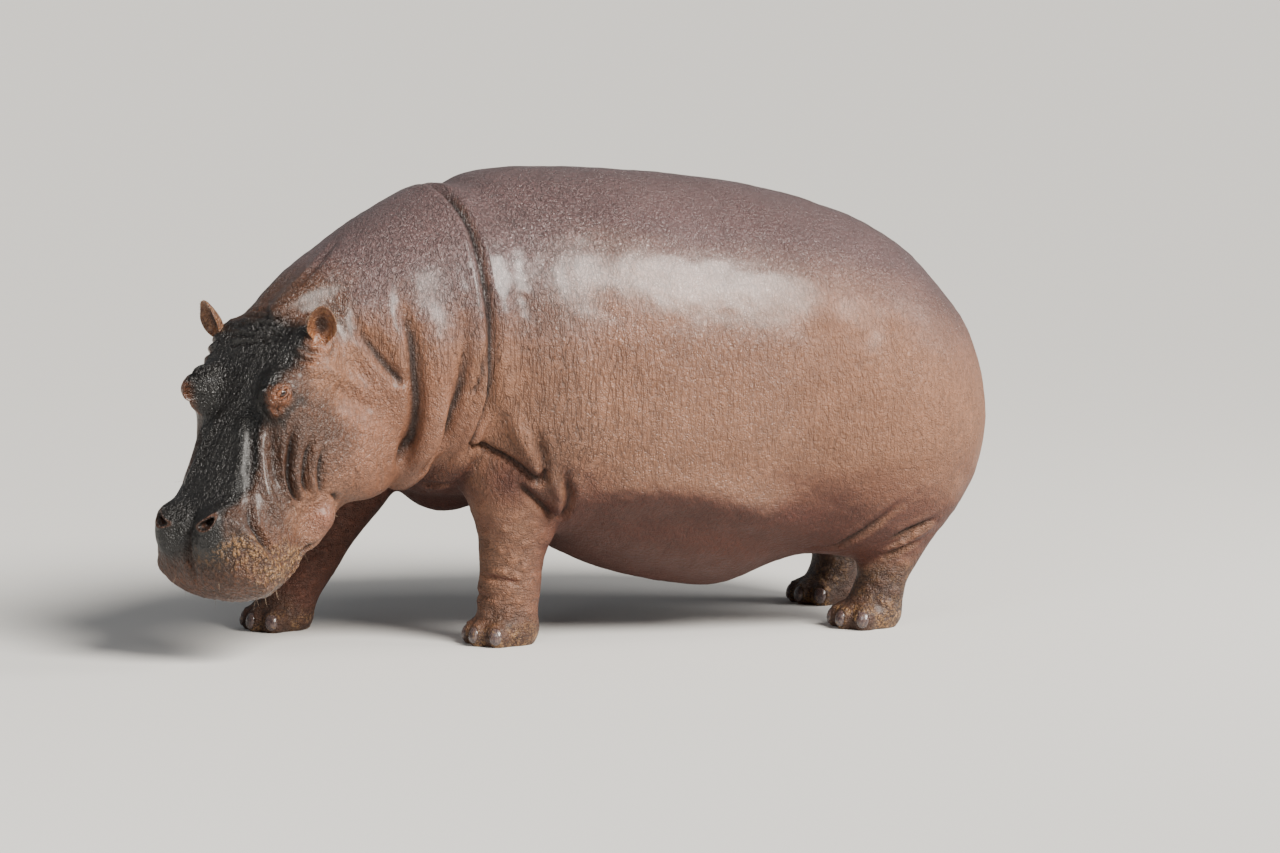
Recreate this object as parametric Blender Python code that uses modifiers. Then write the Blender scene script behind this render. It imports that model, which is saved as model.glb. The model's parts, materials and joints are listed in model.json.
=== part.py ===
"""Standing hippopotamus, life size, head lowered and turned to its left.

The body is worked like a clay model. Rounded forms (barrel, neck, skull, jowls, limbs) are blended
into one closed skin, which is then parted by thin cuts into the named parts of the animal. Eyes,
ears, nails and tail are solids of their own, seated in sockets of the same shape.

Working frame: x to the animal's left, y to its rear, z up, floor at z = 0, with y = 0 in the middle
of the trunk. At the end everything is moved so that the origin is the bottom centre of the whole.
"""
import math

import bmesh
import bpy
import numpy as np
from mathutils import Matrix, Vector

# ---------------------------------------------------------------- driving dimensions, metres
MODEL = "hippopotamus"
GAP = 0.0004                    # clearance between two solids that touch
SOCKET_GAP = 0.0012             # wider, as a faceted piece and its socket differ at the corners
CLAY_VOXEL = 0.016              # cell size when the forms are fused
FLESH_TRIANGLES = 3300          # faces left on the whole skin
SETTLE_STEPS = 4                # times the fused skin is drawn onto the blended forms
DETAIL_KEPT = 0.08              # how much less the head and feet are thinned, 0 to 1
WIDEST_BLEND = 0.20             # beyond this a form doesn't touch the skin
FAR = 9.0                       # distance given to points that no form is near

SECTION_POWER = 2.2             # 2 is an ellipse, more is squarer
FLANK_POWER = 2.3

EYES_MIDDLE = (0.380, -1.410, 0.815)
HEAD_TURN = math.radians(30)    # head's turn to the animal's left
HEAD_PITCH = math.radians(57)   # muzzle below level
EYE_APART = 0.368               # between the eyeballs' middles
EYE_RADIUS = 0.023

NECK_ROOT = (0.0, -0.450, 0.930)
NECK_AXIS = (0.292, -0.950, -0.110)

SKULL_BACK = -0.285             # head cut, in front of the eyes' line when positive
THROAT_LEVEL = -0.660           # under side of the head cut, square to the face
MOUTH_LEVEL = -0.325            # below the eyes' line, square to the face
JAW_BACK = 0.060
NECK_ROLL_INSET = 0.110         # the skin rolls of the neck lie to its left
NECK_FOLD = (0.0, -0.700, 0.900)
NECK_FOLD_FACING = (0.120, -0.985, -0.120)

EAR_PLACE = (-0.190, 0.195, -0.020)
EAR_SIZE = (0.036, 0.018, 0.062)

TAIL_ROOT = (0.0, 1.000, 0.960)
TAIL_AXIS = (0.0, 0.120, -0.990)

FOOT_LENGTH = 0.125             # ankle to toe tips
TOE_ANGLES = tuple(math.radians(a) for a in (-57, -19, 19, 57))
TOE_RADIUS = 0.043
NAIL_SIZE = (0.0200, 0.0130, 0.0260)
NAIL_RISE = 0.004

FEET = {
    "foreleg_left": (0.285, -0.530),
    "foreleg_right": (-0.270, -1.075),
    "hindleg_left": (0.300, 0.665),
    "hindleg_right": (-0.300, 0.765),
}

COLOURS = {
    "hide": ((0.190, 0.130, 0.118), 0.45),
    "eye": ((0.020, 0.012, 0.008), 0.08),
    "nail": ((0.070, 0.055, 0.062), 0.30),
}


# ---------------------------------------------------------------- shapes of clay
def unit(vector):
    """The same direction with length one."""
    array = np.asarray(vector, float)
    return array / np.linalg.norm(array)


def monotone(xs, ys, x):
    """Cubic curve through the points (xs, ys) that never overshoots them."""
    xs = np.asarray(xs, float)
    ys = np.asarray(ys, float)
    step = np.diff(xs)
    slope = np.diff(ys) / step
    tangent = np.empty_like(ys)
    tangent[0] = slope[0]
    tangent[-1] = slope[-1]
    before, after = slope[:-1], slope[1:]
    same_way = before * after > 0
    safe = np.where(same_way, before + after, 1.0)
    tangent[1:-1] = np.where(same_way, 2.0 * before * after / safe, 0.0)
    span = np.clip(np.searchsorted(xs, x) - 1, 0, len(step) - 1)
    t = np.clip((x - xs[span]) / step[span], 0.0, 1.0)
    h00 = (1 + 2 * t) * (1 - t) ** 2
    h10 = t * (1 - t) ** 2
    h01 = t * t * (3 - 2 * t)
    h11 = t * t * (t - 1)
    return (h00 * ys[span] + h10 * step[span] * tangent[span]
            + h01 * ys[span + 1] + h11 * step[span] * tangent[span + 1])


class Loft:
    """A long form: superellipse sections set square to a straight axis, with round ends.

    Each station is (along, half width, level of the widest point, top, bottom). The first and last
    stations are the tips, which have a level but no size.
    """

    def __init__(self, origin, along, up, stations, blend, power=SECTION_POWER):
        self.origin = np.asarray(origin, float)
        self.along = unit(along)
        self.up = unit(np.asarray(up, float) - np.dot(up, self.along) * self.along)
        self.side = np.cross(self.up, self.along)
        self.blend = blend
        self.power = power
        along_values, width, widest, top, bottom = np.asarray(stations, float).T
        self.half_length = (along_values[-1] - along_values[0]) / 2
        self.centre = (along_values[-1] + along_values[0]) / 2
        self.shares = (along_values - self.centre) / self.half_length
        self.widest = widest
        taper = np.sqrt(1.0 - self.shares[1:-1] ** 2)
        self.plumpness = [np.pad(size[1:-1] / taper, 1, mode="edge")
                          for size in (width, top - widest, widest - bottom)]
        thickest = np.hypot(width.max(), max(np.abs(top).max(), np.abs(bottom).max()))
        self.middle = self.origin + self.along * self.centre
        self.bound = math.hypot(self.half_length, thickest)

    def sizes(self, share):
        """Half width, rise and drop before the round of the ends, and the widest level."""
        inside = np.clip(share, -1.0, 1.0)
        width, rise, drop = (monotone(self.shares, column, inside) for column in self.plumpness)
        return width, rise, drop, monotone(self.shares, self.widest, inside)

    def reach(self, share, across, level):
        """1 on the surface, less inside and more outside."""
        width, rise, drop, widest = self.sizes(share)
        height = level - widest
        vertical = np.where(height > 0, height / rise, -height / drop)
        section = (np.abs(across / width) ** self.power + vertical ** self.power) ** (2 / self.power)
        return np.sqrt(section + share * share)

    def distance(self, points):
        """Signed distance to the surface, near enough for blending."""
        offset = points - self.origin
        share = (offset @ self.along - self.centre) / self.half_length
        across, level = offset @ self.side, offset @ self.up
        nudge = 1e-3
        value = self.reach(share, across, level)
        slopes = (self.reach(share + nudge / self.half_length, across, level) - value,
                  self.reach(share, across + nudge, level) - value,
                  self.reach(share, across, level + nudge) - value)
        steepness = np.sqrt(sum(s * s for s in slopes)) / nudge
        return (value - 1.0) / np.maximum(steepness, 0.1)

    def place(self, ball):
        """Points of a unit ball laid on the form's surface."""
        share = ball[:, 2]
        width, rise, drop, widest = self.sizes(share)
        taper = np.sqrt(np.maximum(1.0 - share * share, 0.0))
        angle = np.arctan2(ball[:, 1], ball[:, 0])
        cosine, sine = np.cos(angle), np.sin(angle)
        square = 2.0 / self.power
        across = taper * width * np.sign(cosine) * np.abs(cosine) ** square
        tall = np.where(sine > 0, rise, drop)
        level = widest + taper * tall * np.sign(sine) * np.abs(sine) ** square
        along = self.centre + self.half_length * share
        return (self.origin + np.outer(along, self.along) + np.outer(across, self.side)
                + np.outer(level, self.up))


class Blob:
    """A rounded lump: an ellipsoid with its own axes."""

    def __init__(self, centre, radii, blend, axes=None):
        self.centre = np.asarray(centre, float)
        self.radii = np.asarray(radii, float)
        self.axes = np.eye(3) if axes is None else np.asarray(axes, float)
        self.blend = blend
        self.middle = self.centre
        self.bound = float(self.radii.max())

    def distance(self, points):
        local = (points - self.centre) @ self.axes.T
        near = np.linalg.norm(local / self.radii, axis=1)
        steep = np.linalg.norm(local / self.radii ** 2, axis=1)
        return near * (near - 1.0) / np.maximum(steep, 1e-6)

    def place(self, ball):
        """Points of a unit ball laid on the lump's surface."""
        return self.centre + (ball * self.radii) @ self.axes


class Frame:
    """A set of axes: forward, left and upward of one part of the body."""

    def __init__(self, origin, forward, left):
        self.origin = np.asarray(origin, float)
        self.forward = unit(forward)
        self.left = unit(left)
        self.upward = np.cross(self.forward, self.left)
        self.axes = np.array([self.forward, self.left, self.upward])

    def at(self, forward, left, upward):
        """World place of a point given in this frame."""
        return self.origin + np.array([forward, left, upward]) @ self.axes


def turned_frame(origin, turn, pitch):
    """Frame that looks along -y, turned to its left and pitched down."""
    level = np.array([math.sin(turn), -math.cos(turn), 0.0])
    forward = level * math.cos(pitch) - np.array([0, 0, math.sin(pitch)])
    left = (math.cos(turn), math.sin(turn), 0.0)
    return Frame(origin, forward, left)


HEAD = turned_frame(EYES_MIDDLE, HEAD_TURN, HEAD_PITCH)
NECK = Frame(NECK_ROOT, NECK_AXIS, (0.950, 0.292, 0.0))


def tilted(axes, around, angle):
    """Axes turned by an angle about one of themselves."""
    spin = np.array(Matrix.Rotation(angle, 3, Vector(axes[around])))
    return axes @ spin.T


# ---------------------------------------------------------------- the animal's forms
def trunk_forms():
    """Barrel, shoulders, breast, haunches and buttocks."""
    barrel = Loft((0, 0, 0), (0, 1, 0), (0, 0, 1), [
        (-0.86, 0.000, 0.92, 0.920, 0.920), (-0.72, 0.340, 0.89, 1.300, 0.560),
        (-0.60, 0.440, 0.85, 1.403, 0.480), (-0.45, 0.490, 0.80, 1.437, 0.400),
        (-0.26, 0.530, 0.76, 1.436, 0.236), (0.00, 0.562, 0.73, 1.420, 0.148),
        (0.20, 0.575, 0.72, 1.398, 0.124), (0.36, 0.575, 0.72, 1.370, 0.180),
        (0.53, 0.560, 0.72, 1.325, 0.265), (0.70, 0.520, 0.73, 1.260, 0.345),
        (0.86, 0.430, 0.75, 1.155, 0.420), (0.96, 0.310, 0.76, 1.020, 0.520),
        (1.035, 0.000, 0.76, 0.760, 0.760)], 0.0, FLANK_POWER)
    forms = [barrel, Blob((-0.04, -0.66, 0.62), (0.270, 0.200, 0.190), 0.10)]
    for side in (1, -1):
        shoulder_shift = -0.02 if side > 0 else -0.14
        forms += [
            Blob((0.27 * side, -0.42 + shoulder_shift, 0.74), (0.205, 0.230, 0.390), 0.14),
            Blob((0.31 * side, 0.64, 0.62), (0.235, 0.330, 0.400), 0.16),
            Blob((0.205 * side, 0.84, 0.65), (0.205, 0.215, 0.355), 0.09),
        ]
    return forms


def neck_forms():
    """The neck, its heavy nape and the folds of its left side."""
    neck = Loft(NECK_ROOT, NECK_AXIS, (0, 0, 1), [
        (-0.08, 0.000, 0.02, 0.020, 0.020), (0.08, 0.380, 0.00, 0.440, -0.390),
        (0.20, 0.430, -0.02, 0.492, -0.415), (0.32, 0.405, -0.04, 0.470, -0.415),
        (0.44, 0.360, -0.06, 0.430, -0.385), (0.58, 0.305, -0.06, 0.372, -0.330),
        (0.72, 0.240, -0.05, 0.300, -0.260), (0.86, 0.170, -0.02, 0.215, -0.180),
        (0.98, 0.000, 0.03, 0.030, 0.030)], 0.018, 2.1)
    forms = [neck]
    for side in (1, -1):
        start, end = (0.055 * side, -0.66, 1.285), (0.235 + 0.075 * side, -1.20, 1.060)
        axis = np.subtract(end, start)
        length = float(np.linalg.norm(axis))
        forms.append(Loft(start, axis, (0, 0, 1), [
            (-0.14, 0.0, 0, 0.0, 0.0), (0.08, 0.080, 0, 0.072, -0.09), (0.28, 0.088, 0, 0.080, -0.10),
            (0.48, 0.075, 0, 0.070, -0.10), (length + 0.10, 0.0, 0, 0.0, 0.0)], 0.05))
    for along, outward, rise, drop in ((0.360, 0.400, 0.33, -0.425), (0.485, 0.365, 0.29, -0.400)):
        across = outward - NECK_ROLL_INSET
        middle = NECK.at(along, NECK_ROLL_INSET, (rise + drop) / 2)
        forms.append(Blob(middle, (0.085, across, (rise - drop) / 2), 0.02,
                          tilted(NECK.axes, 1, -0.12)))
    return forms


def head_forms():
    """Skull, jaw, cheeks, jowls, eye mounds, lips and nose."""
    upward = HEAD.upward
    skull = Loft(HEAD.origin, HEAD.forward, upward, [
        (-0.36, 0.000, -0.15, -0.150, -0.15), (-0.26, 0.170, -0.14, -0.030, -0.30),
        (-0.14, 0.200, -0.13, 0.008, -0.33), (0.00, 0.178, -0.14, -0.004, -0.33),
        (0.12, 0.152, -0.15, -0.025, -0.31), (0.24, 0.150, -0.15, -0.044, -0.29),
        (0.34, 0.150, -0.16, -0.060, -0.29), (0.44, 0.140, -0.17, -0.070, -0.29),
        (0.54, 0.000, -0.18, -0.180, -0.18)], 0.06, 2.7)
    muzzle = Loft(HEAD.origin, HEAD.forward, upward, [
        (0.11, 0.000, -0.22, -0.220, -0.22), (0.22, 0.158, -0.21, -0.080, -0.350),
        (0.32, 0.188, -0.21, -0.056, -0.374), (0.42, 0.200, -0.21, -0.050, -0.374),
        (0.50, 0.195, -0.22, -0.080, -0.345), (0.54, 0.180, -0.22, -0.120, -0.308),
        (0.58, 0.000, -0.22, -0.220, -0.22)], 0.05, 2.8)
    jaw = Loft(HEAD.origin, HEAD.forward, upward, [
        (-0.30, 0.000, -0.36, -0.360, -0.36), (-0.20, 0.160, -0.36, -0.220, -0.49),
        (-0.06, 0.178, -0.38, -0.200, -0.550), (0.08, 0.172, -0.38, -0.200, -0.525),
        (0.22, 0.155, -0.37, -0.220, -0.47), (0.34, 0.152, -0.35, -0.220, -0.425),
        (0.44, 0.145, -0.33, -0.220, -0.385), (0.535, 0.000, -0.31, -0.310, -0.31)], 0.04)
    forms = [skull, muzzle, jaw]
    for side in (1, -1):
        forms += [
            Blob(HEAD.at(-0.05, 0.150 * side, -0.14), (0.185, 0.080, 0.115), 0.05, HEAD.axes),
            Blob(HEAD.at(-0.06, 0.165 * side, -0.385), (0.195, 0.105, 0.190), 0.04, HEAD.axes),
            Blob(HEAD.at(0.06, 0.145 * side, -0.250), (0.190, 0.080, 0.130), 0.06, HEAD.axes),
            Blob(HEAD.at(-0.012, 0.145 * side, -0.022), (0.070, 0.058, 0.055), 0.05, HEAD.axes),
            Blob(HEAD.at(-0.180, 0.158 * side, -0.048), (0.060, 0.040, 0.036), 0.08, HEAD.axes),
            Blob(HEAD.at(0.435, 0.088 * side, -0.072), (0.075, 0.050, 0.048), 0.05, HEAD.axes),
            Blob(HEAD.at(0.24, 0.150 * side, -0.360), (0.080, 0.050, 0.050), 0.04, HEAD.axes),
        ]
    return forms


def leg_forms():
    """Four legs, each with a foot of four toes."""
    forms = []
    fore_left = FEET["foreleg_left"]
    forms.append(Loft((fore_left[0], fore_left[1], 0), (0, 0, 1), (0, -1, 0), [
        (-0.06, 0.000, 0.01, 0.010, 0.010), (0.03, 0.085, 0.00, 0.090, -0.080),
        (0.13, 0.085, 0.00, 0.096, -0.090), (0.24, 0.090, 0.00, 0.086, -0.106),
        (0.32, 0.105, 0.00, 0.090, -0.125), (0.42, 0.125, 0.01, 0.115, -0.130),
        (0.54, 0.140, 0.00, 0.140, -0.160), (0.78, 0.000, 0.00, 0.000, 0.000)], 0.035))
    fore_right = FEET["foreleg_right"]
    ankle = np.array([fore_right[0], fore_right[1] + 0.005, 0.09])
    elbow = np.array([-0.255, -0.760, 0.640])
    forms.append(Loft(ankle, elbow - ankle, (0, -1, 0.4), [
        (-0.13, 0.000, 0.00, 0.000, 0.000), (-0.04, 0.080, 0.00, 0.085, -0.076),
        (0.08, 0.084, 0.00, 0.092, -0.082), (0.20, 0.090, 0.00, 0.090, -0.090),
        (0.32, 0.110, 0.00, 0.115, -0.105), (0.45, 0.130, 0.00, 0.150, -0.125),
        (0.78, 0.000, 0.00, 0.000, 0.000)], 0.05))
    for name, lean in (("hindleg_left", 0.14), ("hindleg_right", 0.05)):
        foot = FEET[name]
        ankle = np.array([foot[0], foot[1] + 0.015, 0.09])
        forms.append(Loft(ankle, (0, lean, 0.56), (0, -1, 0), [
            (-0.13, 0.000, 0.00, 0.000, 0.000), (-0.04, 0.082, 0.00, 0.078, -0.070),
            (0.06, 0.084, 0.00, 0.076, -0.074), (0.15, 0.098, 0.00, 0.100, -0.100),
            (0.26, 0.125, 0.00, 0.150, -0.135), (0.40, 0.150, 0.00, 0.180, -0.160),
            (0.62, 0.000, 0.00, 0.000, 0.000)], 0.05))
    for foot in FEET.values():
        forms.append(Blob((foot[0], foot[1] - 0.015, 0.035), (0.100, 0.098, 0.062), 0.03))
        for angle in TOE_ANGLES:
            forms.append(toe_form(foot, angle))
    return forms


def toe_frame(foot, angle):
    """Frame at a toe's middle, forward along the toe."""
    forward = np.array([math.sin(angle), -math.cos(angle), 0.0])
    left = np.array([math.cos(angle), math.sin(angle), 0.0])
    reach = FOOT_LENGTH - TOE_RADIUS
    spread = np.array([1.05, 1.0, 1.0])
    middle = np.array([foot[0], foot[1] - 0.012, 0.030]) + forward * reach * spread
    return Frame(middle, forward, left)


def toe_form(foot, angle):
    """One round toe."""
    frame = toe_frame(foot, angle)
    return Blob(frame.origin, (TOE_RADIUS + 0.004, TOE_RADIUS - 0.004, 0.046), 0.018, frame.axes)


def smooth_union(first, second, blend):
    """Nearer of two distances, with the crease between them rounded."""
    if blend <= 0:
        return np.minimum(first, second)
    share = np.maximum(blend - np.abs(first - second), 0.0) / blend
    return np.minimum(first, second) - share * share * blend / 4.0


class Clay:
    """Groups of forms. Each group is blended on its own and then joined to the ones before it."""

    def __init__(self, groups):
        self.groups = groups

    def forms(self):
        """Every form of every group."""
        return [form for _, forms in self.groups for form in forms]

    def distance(self, points):
        """Signed distance to the blended skin, near enough for settling points on it."""
        total = None
        for blend, forms in self.groups:
            value = np.full(len(points), FAR)
            for form in forms:
                margin = form.bound + WIDEST_BLEND
                near = np.flatnonzero(np.linalg.norm(points - form.middle, axis=1) < margin)
                value[near] = smooth_union(value[near], form.distance(points[near]), form.blend)
            total = value if total is None else smooth_union(total, value, blend)
        return total

    def settle(self, points, steps):
        """Points moved onto the blended surface, a little at a time."""
        reach, longest = 1e-3, 0.008
        for _ in range(steps):
            value = self.distance(points)
            slope = np.stack([self.distance(points + reach * axis) - value
                              for axis in np.eye(3)], axis=1) / reach
            size = np.maximum(np.linalg.norm(slope, axis=1), 0.2)
            move = np.clip(value / size, -longest, longest)
            points = points - slope * (move / size)[:, None]
        return points


def whole_animal():
    """The clay of the whole body, without its inset pieces."""
    return Clay([(0.0, trunk_forms()), (0.018, neck_forms()), (0.030, head_forms()),
                 (0.045, leg_forms())])


# ---------------------------------------------------------------- Blender helpers
def clear_scene():
    """Removes whatever the scene holds."""
    for item in list(bpy.data.objects):
        bpy.data.objects.remove(item, do_unlink=True)


def new_collection(name):
    """A collection linked to the scene."""
    group = bpy.data.collections.new(name)
    bpy.context.scene.collection.children.link(group)
    return group


def material(name):
    """Plain Principled finish from the table of colours."""
    colour, roughness = COLOURS[name]
    finish = bpy.data.materials.new(name)
    finish.use_nodes = True
    shader = finish.node_tree.nodes["Principled BSDF"]
    shader.inputs["Base Color"].default_value = (*colour, 1.0)
    shader.inputs["Roughness"].default_value = roughness
    shader.inputs["Metallic"].default_value = 0.0
    return finish


def coordinates(mesh):
    """All vertex places of a mesh as one array."""
    flat = np.empty(len(mesh.vertices) * 3)
    mesh.vertices.foreach_get("co", flat)
    return flat.reshape(-1, 3)


def set_coordinates(mesh, points):
    """Moves every vertex of a mesh."""
    mesh.vertices.foreach_set("co", np.asarray(points, float).ravel())
    mesh.update()


def ball_object(name, group, segments, rings, place):
    """A UV sphere whose points are laid where place() says."""
    mesh = bpy.data.meshes.new(name)
    shape = bmesh.new()
    bmesh.ops.create_uvsphere(shape, u_segments=segments, v_segments=rings, radius=1.0)
    shape.to_mesh(mesh)
    shape.free()
    set_coordinates(mesh, place(coordinates(mesh)))
    shape = bmesh.new()
    shape.from_mesh(mesh)
    bmesh.ops.triangulate(shape, faces=shape.faces)
    bmesh.ops.recalc_face_normals(shape, faces=shape.faces)
    shape.to_mesh(mesh)
    shape.free()
    item = bpy.data.objects.new(name, mesh)
    group.objects.link(item)
    return item


def block_object(name, group, centre, axes, half_sizes):
    """A box with its own axes."""
    mesh = bpy.data.meshes.new(name)
    shape = bmesh.new()
    bmesh.ops.create_cube(shape, size=2.0)
    shape.to_mesh(mesh)
    shape.free()
    points = np.asarray(centre, float) + (coordinates(mesh) * half_sizes) @ np.asarray(axes, float)
    set_coordinates(mesh, points)
    item = bpy.data.objects.new(name, mesh)
    group.objects.link(item)
    return item


def bake(item):
    """Replaces an object's mesh with its evaluated one and drops the modifiers."""
    view = bpy.context.evaluated_depsgraph_get()
    mesh = bpy.data.meshes.new_from_object(item.evaluated_get(view), depsgraph=view)
    item.modifiers.clear()
    item.data = mesh


def boolean(item, cutter, operation):
    """Cuts an object with another."""
    cut = item.modifiers.new("cut", "BOOLEAN")
    cut.operation = operation
    cut.solver = "EXACT"
    cut.object = cutter
    bake(item)


def drop_crumbs(item):
    """Keeps the largest loose piece of an object and deletes the slivers that a cut left."""
    shape = bmesh.new()
    shape.from_mesh(item.data)
    waiting, bodies = set(shape.verts), []
    while waiting:
        front = [waiting.pop()]
        body = set(front)
        while front:
            for edge in front.pop().link_edges:
                for vertex in edge.verts:
                    if vertex in waiting:
                        waiting.discard(vertex)
                        body.add(vertex)
                        front.append(vertex)
        bodies.append(body)
    largest = max(bodies, key=len)
    crumbs = [vertex for body in bodies if body is not largest for vertex in body]
    bmesh.ops.delete(shape, geom=crumbs, context="VERTS")
    shape.to_mesh(item.data)
    shape.free()


def copy_object(item, name, group):
    """A copy with its own mesh."""
    twin = bpy.data.objects.new(name, item.data.copy())
    group.objects.link(twin)
    return twin


def inflated(item, group, amount):
    """A copy whose surface stands out by a small amount."""
    twin = copy_object(item, item.name + "_socket", group)
    mesh = twin.data
    normals = np.array([v.normal for v in mesh.vertices])
    set_coordinates(mesh, coordinates(mesh) + normals * amount)
    hide_cutter(twin)
    return twin


def hide_cutter(item):
    """Marks a working shape so that it isn't part of the model."""
    item.hide_render = True
    item.display_type = "WIRE"


# ---------------------------------------------------------------- the skin and its cuts
def model_flesh(group):
    """The whole skin as one closed faceted body."""
    clay = whole_animal()
    fused = bpy.data.meshes.new("flesh")
    shape = bmesh.new()
    for form in clay.forms():
        lump = ball_object("lump", group, 40, 28, form.place)
        shape.from_mesh(lump.data)
        bpy.data.objects.remove(lump, do_unlink=True)
    shape.to_mesh(fused)
    shape.free()
    flesh = bpy.data.objects.new("flesh", fused)
    group.objects.link(flesh)
    remesh = flesh.modifiers.new("fuse", "REMESH")
    remesh.mode = "VOXEL"
    remesh.voxel_size = CLAY_VOXEL
    bake(flesh)
    set_coordinates(flesh.data, clay.settle(coordinates(flesh.data), SETTLE_STEPS))
    thin_out(flesh)
    return flesh


def thin_out(flesh):
    """Fewer faces, with more of them kept on the head and feet."""
    points = coordinates(flesh.data)
    on_head = ((points - HEAD.origin) @ HEAD.forward > -0.25) & (points[:, 1] < -0.95)
    on_feet = points[:, 2] < 0.13
    fine = on_head | on_feet
    coarse = flesh.vertex_groups.new(name="coarse")
    coarse.add([int(i) for i in np.flatnonzero(~fine)], 1.0, "REPLACE")
    coarse.add([int(i) for i in np.flatnonzero(fine)], 1.0 - DETAIL_KEPT, "REPLACE")
    faces = sum(len(p.vertices) - 2 for p in flesh.data.polygons)
    thin = flesh.modifiers.new("thin", "DECIMATE")
    thin.ratio = FLESH_TRIANGLES / faces
    thin.use_collapse_triangulate = True
    thin.vertex_group = "coarse"
    thin.vertex_group_factor = 1.0
    bake(flesh)
    flesh.vertex_groups.clear()


def floor_region(group):
    """All that lies below the floor."""
    depth = 0.5
    return block_object("below_floor", group, (0, 0, -depth), np.eye(3), (2.0, 3.0, depth))


def leg_region(name, group, extra):
    """Long egg that holds one leg, from its sole up into the body."""
    foot = FEET[name]
    lean = {"foreleg_right": (0.015, 0.320, 0.550), "foreleg_left": (0.02, 0.0, 0.500)}
    top = np.array(lean.get(name, (0.0, 0.04, 0.500)))
    upward = unit(top)
    side = unit(np.cross(upward, (0.0, 1.0, 0.0)))
    axes = np.array([side, np.cross(upward, side), upward])
    girth = 0.215
    radii = np.array([girth, girth, np.linalg.norm(top)]) + extra
    egg = Blob((foot[0], foot[1], 0.0), radii, 0.0, axes)
    return ball_object(name + "_region", group, 14, 10, egg.place)


def head_region(group, extra):
    """All that lies in front of the back of the skull."""
    size = 0.6
    middle = HEAD.at(size + SKULL_BACK, 0.0, size + THROAT_LEVEL)
    return block_object("head_region", group, middle, HEAD.axes, (size + extra,) * 3)


def jaw_region(group, extra):
    """All that lies below the mouth and in front of the throat."""
    size = 0.5
    middle = HEAD.at(size + JAW_BACK, 0.0, MOUTH_LEVEL - size)
    return block_object("jaw_region", group, middle, HEAD.axes, (size + extra,) * 3)


def neck_region(group, extra):
    """All that lies in front of the deep fold behind the neck."""
    size = 1.2
    forward = unit(NECK_FOLD_FACING)
    left = unit(np.cross((0.0, 0.0, 1.0), forward))
    fold = Frame(NECK_FOLD, forward, left)
    middle = fold.at(size, 0.0, 0.0)
    return block_object("neck_region", group, middle, fold.axes, (size + extra,) * 3)


def part_off(flesh, name, region, parts, tools):
    """Takes what lies in a region off the flesh, as a part with a thin gap round it."""
    piece = copy_object(flesh, name, parts)
    boolean(piece, region(tools, 0.0), "INTERSECT")
    boolean(flesh, region(tools, GAP), "DIFFERENCE")
    return piece


def seat(piece, host, tools):
    """Cuts the socket of an inset piece into its host."""
    boolean(host, inflated(piece, tools, SOCKET_GAP), "DIFFERENCE")


# ---------------------------------------------------------------- inset pieces
def eye(side_name, side, parts):
    """One eyeball."""
    ball = Blob(HEAD.at(0.008, side * EYE_APART / 2, 0.004), (EYE_RADIUS,) * 3, 0.0, HEAD.axes)
    return ball_object("eye_" + side_name, parts, 12, 8, ball.place)


def ear(side_name, side, parts):
    """One small round ear, hollow in front."""
    upward = unit(HEAD.axes.T @ np.array([-0.62, 0.30 * side, 0.72]))
    opening = HEAD.axes.T @ np.array([0.62, 0.52 * side, 0.25])
    opening = unit(opening - np.dot(opening, upward) * upward)
    across = np.cross(upward, opening)
    middle = HEAD.at(*EAR_PLACE[:1], side * EAR_PLACE[1], EAR_PLACE[2]) + upward * EAR_SIZE[2] * 0.55

    def place(ball):
        """Leaf with a narrow foot and a dished front."""
        narrow = 0.74 + 0.26 * np.clip(ball[:, 2] + 0.6, 0.0, 1.0)
        front = np.maximum(ball[:, 1], 0.0)
        dish = EAR_SIZE[1] * (ball[:, 1] * 1.1 - 2.1 * front ** 2 - 0.5 * (1 - ball[:, 0] ** 2))
        return (middle + np.outer(ball[:, 0] * narrow * EAR_SIZE[0], across)
                + np.outer(dish, opening) + np.outer(ball[:, 2] * EAR_SIZE[2], upward))

    return ball_object("ear_" + side_name, parts, 12, 9, place)


def tail(parts):
    """Short tail, thick at the root and flat towards its end."""
    form = Loft(TAIL_ROOT, TAIL_AXIS, (0, 1, 0), [
        (-0.09, 0.0, 0, 0.0, 0.0), (0.00, 0.046, 0, 0.040, -0.040), (0.14, 0.038, 0, 0.026, -0.026),
        (0.28, 0.034, 0, 0.017, -0.017), (0.38, 0.030, 0, 0.012, -0.012), (0.43, 0.0, 0, 0.0, 0.0)],
        0.0)
    return ball_object("tail", parts, 10, 10, form.place)


def nail(name, foot, angle, parts):
    """One hoof-like nail on the front of a toe."""
    frame = toe_frame(foot, angle)
    lean = tilted(frame.axes, 1, math.radians(-14))
    middle = frame.at(TOE_RADIUS - 0.006, 0.0, NAIL_RISE)
    depth, width, height = NAIL_SIZE[1], NAIL_SIZE[0], NAIL_SIZE[2]
    form = Blob(middle, (depth, width, height), 0.0, lean)
    return ball_object(name, parts, 8, 5, form.place)


def finish_piece(piece, finish):
    """Smooth shading with creases at the cuts, and one material."""
    piece.data.materials.clear()
    piece.data.materials.append(finish)
    piece.data.shade_smooth()
    piece.data.set_sharp_from_angle(angle=math.radians(50))


def set_on_origin(items):
    """Moves everything so that the origin is the bottom centre of the whole."""
    points = np.concatenate([coordinates(item.data) for item in items])
    low, high = points.min(axis=0), points.max(axis=0)
    shift = np.array([-(low[0] + high[0]) / 2, -(low[1] + high[1]) / 2, -low[2]])
    for item in items:
        set_coordinates(item.data, coordinates(item.data) + shift)


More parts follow.
